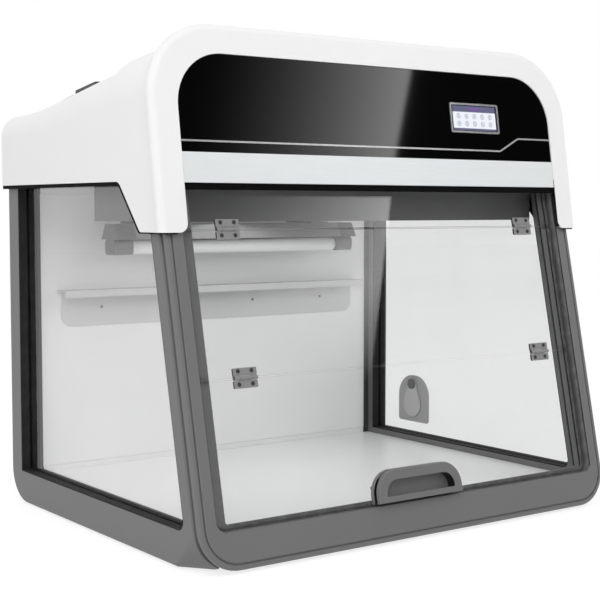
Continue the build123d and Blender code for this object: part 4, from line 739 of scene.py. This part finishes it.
def make_screen():
    """The lit page of the touch screen: dark header, pale page with round keys, foot bar."""
    mesh = bmesh.new()
    head_low = PAGE_HALF_HEIGHT - HEADER_HEIGHT
    foot_high = -PAGE_HALF_HEIGHT + FOOT_BAR_HEIGHT
    display_bar(mesh, PAGE_HALF_WIDTH, foot_high, head_low, PAGE, 1)
    display_bar(mesh, PAGE_HALF_WIDTH, head_low, PAGE_HALF_HEIGHT, BAR, 1)
    display_bar(mesh, PAGE_HALF_WIDTH, -PAGE_HALF_HEIGHT, foot_high, BAR, 1)
    display_bar(mesh, HEADER_MARK_HALF_WIDTH, head_low + HEADER_MARK_MARGIN,
                PAGE_HALF_HEIGHT - HEADER_MARK_MARGIN, MARK, 2)
    for y in KEY_ROWS:
        for column in KEY_COLUMNS:
            x = column * KEY_PITCH
            display_disc(mesh, x, y, KEY_RADIUS, KEY, 2)
            display_disc(mesh, x, y, KEY_HOLE_RADIUS, PAGE, 3)
            display_disc(mesh, x, y, KEY_DOT_RADIUS, KEY, 4)
    piece = to_object("screen_display", mesh)
    for name, grey, variation in (
        ("display_page", (240, 243, 250), 0.03),
        ("display_bar", (104, 104, 134), 0.1),
        ("display_mark", (128, 92, 168), 0.1),
        ("display_key", (150, 156, 172), 0.1),
    ):
        piece.data.materials.append(glowing(name, grey, variation))
    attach(piece, "chamber")


# Stage, light and camera


def shade(tree, kind, level, strength=None):
    """A shader node of one grey, for the stage."""
    node = tree.nodes.new(kind)
    node.inputs["Color"].default_value = (level, level, level, 1)
    if strength is not None:
        node.inputs["Strength"].default_value = strength
    return node.outputs[0]


def seen_rays(tree):
    """1 for camera, glossy and transmission rays, 0 for the rest."""
    path = tree.nodes.new("ShaderNodeLightPath")
    total = path.outputs["Is Camera Ray"]
    for name in ("Is Glossy Ray", "Is Transmission Ray"):
        most = tree.nodes.new("ShaderNodeMath")
        most.operation = "MAXIMUM"
        tree.links.new(total, most.inputs[0])
        tree.links.new(path.outputs[name], most.inputs[1])
        total = most.outputs["Value"]
    return total


def split_rays(tree, output_kind, unseen, seen):
    """Gives a world or material one shader for the rays that are seen and one for the rest."""
    output = tree.nodes.new(output_kind)
    mixed = mix_shaders(tree, seen_rays(tree), unseen, seen)
    tree.links.new(mixed, output.inputs["Surface"])


def make_world(diffuse_strength):
    """A white studio that lights the model less than it shows."""
    world = bpy.data.worlds.new("studio")
    bpy.context.scene.world = world
    world.use_nodes = True
    tree = world.node_tree
    tree.nodes.clear()
    dim = shade(tree, "ShaderNodeBackground", 1, diffuse_strength)
    white = shade(tree, "ShaderNodeBackground", 1, 1.0)
    split_rays(tree, "ShaderNodeOutputWorld", dim, white)


def square(name, half, material):
    """A flat square round the origin."""
    mesh = bpy.data.meshes.new(name)
    corners = [(-half, -half, 0), (half, -half, 0), (half, half, 0), (-half, half, 0)]
    mesh.from_pydata(corners, [], [(0, 1, 2, 3)])
    mesh.materials.append(material)
    return placed(name, mesh)


def make_floor():
    """A white floor that keeps a faint shadow."""
    material = bpy.data.materials.new("floor")
    material.use_nodes = True
    tree = material.node_tree
    tree.nodes.clear()
    bounce = shade(tree, "ShaderNodeBsdfDiffuse", FLOOR_BOUNCE)
    both = tree.nodes.new("ShaderNodeAddShader")
    tree.links.new(shade(tree, "ShaderNodeBsdfDiffuse", FLOOR_MATT), both.inputs[0])
    tree.links.new(shade(tree, "ShaderNodeEmission", 1, FLOOR_LIFT), both.inputs[1])
    split_rays(tree, "ShaderNodeOutputMaterial", bounce, both.outputs["Shader"])
    square("floor", FLOOR_HALF, material)


def make_reflector():
    """A dark card with a light that fades in up to a slanted edge, seen only in reflections."""
    finish = Finish("reflector")
    glow = finish.add("ShaderNodeEmission")
    axes = finish.axes()
    slope = finish.calculate("MULTIPLY", axes["Y"], CARD_EDGE_SLOPE)
    edge = finish.calculate("ADD", slope, CARD_EDGE_START)
    past_edge = finish.calculate("SUBTRACT", axes["X"], edge)
    rise = finish.spread(past_edge, 0.0, 1.0, start=-CARD_FADE_WIDTH, stop=0.0)
    soft = finish.calculate("POWER", rise, CARD_FADE_POWER)
    lit = finish.overlap(soft, finish.calculate("LESS_THAN", past_edge, 0.0))
    strength = finish.spread(axes["Y"], 0.0, CARD_GLOW, *CARD_FADE_Y)
    finish.join(finish.overlap(lit, strength), glow.inputs["Strength"])
    finish.join(glow.outputs["Emission"], finish.surface)
    card = square("reflector", CARD_HALF, finish.material)
    away = Vector(CARD_FACING).normalized()
    across = Vector((0, 0, 1)).cross(away).normalized()
    card.matrix_world = Matrix((across, away.cross(across), away)).transposed().to_4x4()
    card.location = CARD_PLACE
    card.visible_camera = False
    card.visible_diffuse = False
    card.visible_transmission = False
    card.visible_shadow = False


def make_lamp(name, place, aim, size, power):
    """A round area light, not seen in reflections."""
    lamp = bpy.data.lights.new(name, "AREA")
    lamp.shape = "DISK"
    lamp.size = size
    lamp.energy = power
    holder = placed(name, lamp)
    holder.location = place
    holder.rotation_euler = (Vector(aim) - Vector(place)).to_track_quat("-Z", "Y").to_euler()
    holder.visible_glossy = False


def make_camera():
    """The photograph's camera."""
    data = bpy.data.cameras.new("photo_view")
    data.lens = CAMERA_LENS
    data.sensor_width = CAMERA_SENSOR
    camera = placed("photo_view", data)
    camera.location = CAMERA_PLACE
    camera.rotation_euler = (math.radians(90 + CAMERA_PITCH), 0.0, math.radians(-CAMERA_YAW))
    bpy.context.scene.camera = camera


finish_nodes()
make_screen()
for screw_node in ("fixed_hinge_screws", "middle_hinge_screws", "lower_door_screws"):
    make_screws(screw_node, FRONT_NORMAL)
for screw_node in ("rear_panel_screws", "hood_screws", "rack_screws"):
    make_screws(screw_node, TO_REAR)
make_floor()
make_reflector()
make_world(diffuse_strength=0.65)
make_lamp("key", place=(-1.5, -2.2, 2.6), aim=(0, 0, 0.35), size=1.8, power=28)
make_lamp("side", place=(-2.6, -0.9, 1.3), aim=(0, 0, 0.25), size=1.8, power=9)
make_lamp("fill", place=(2.4, -1.6, 1.5), aim=(0, 0, 0.25), size=1.6, power=12)
make_lamp("chamber", place=(-0.05, 0.0, 0.474), aim=(-0.05, 0.0, 0.0), size=0.4, power=0.55)
make_camera()
bpy.context.scene.view_settings.view_transform = "Standard"
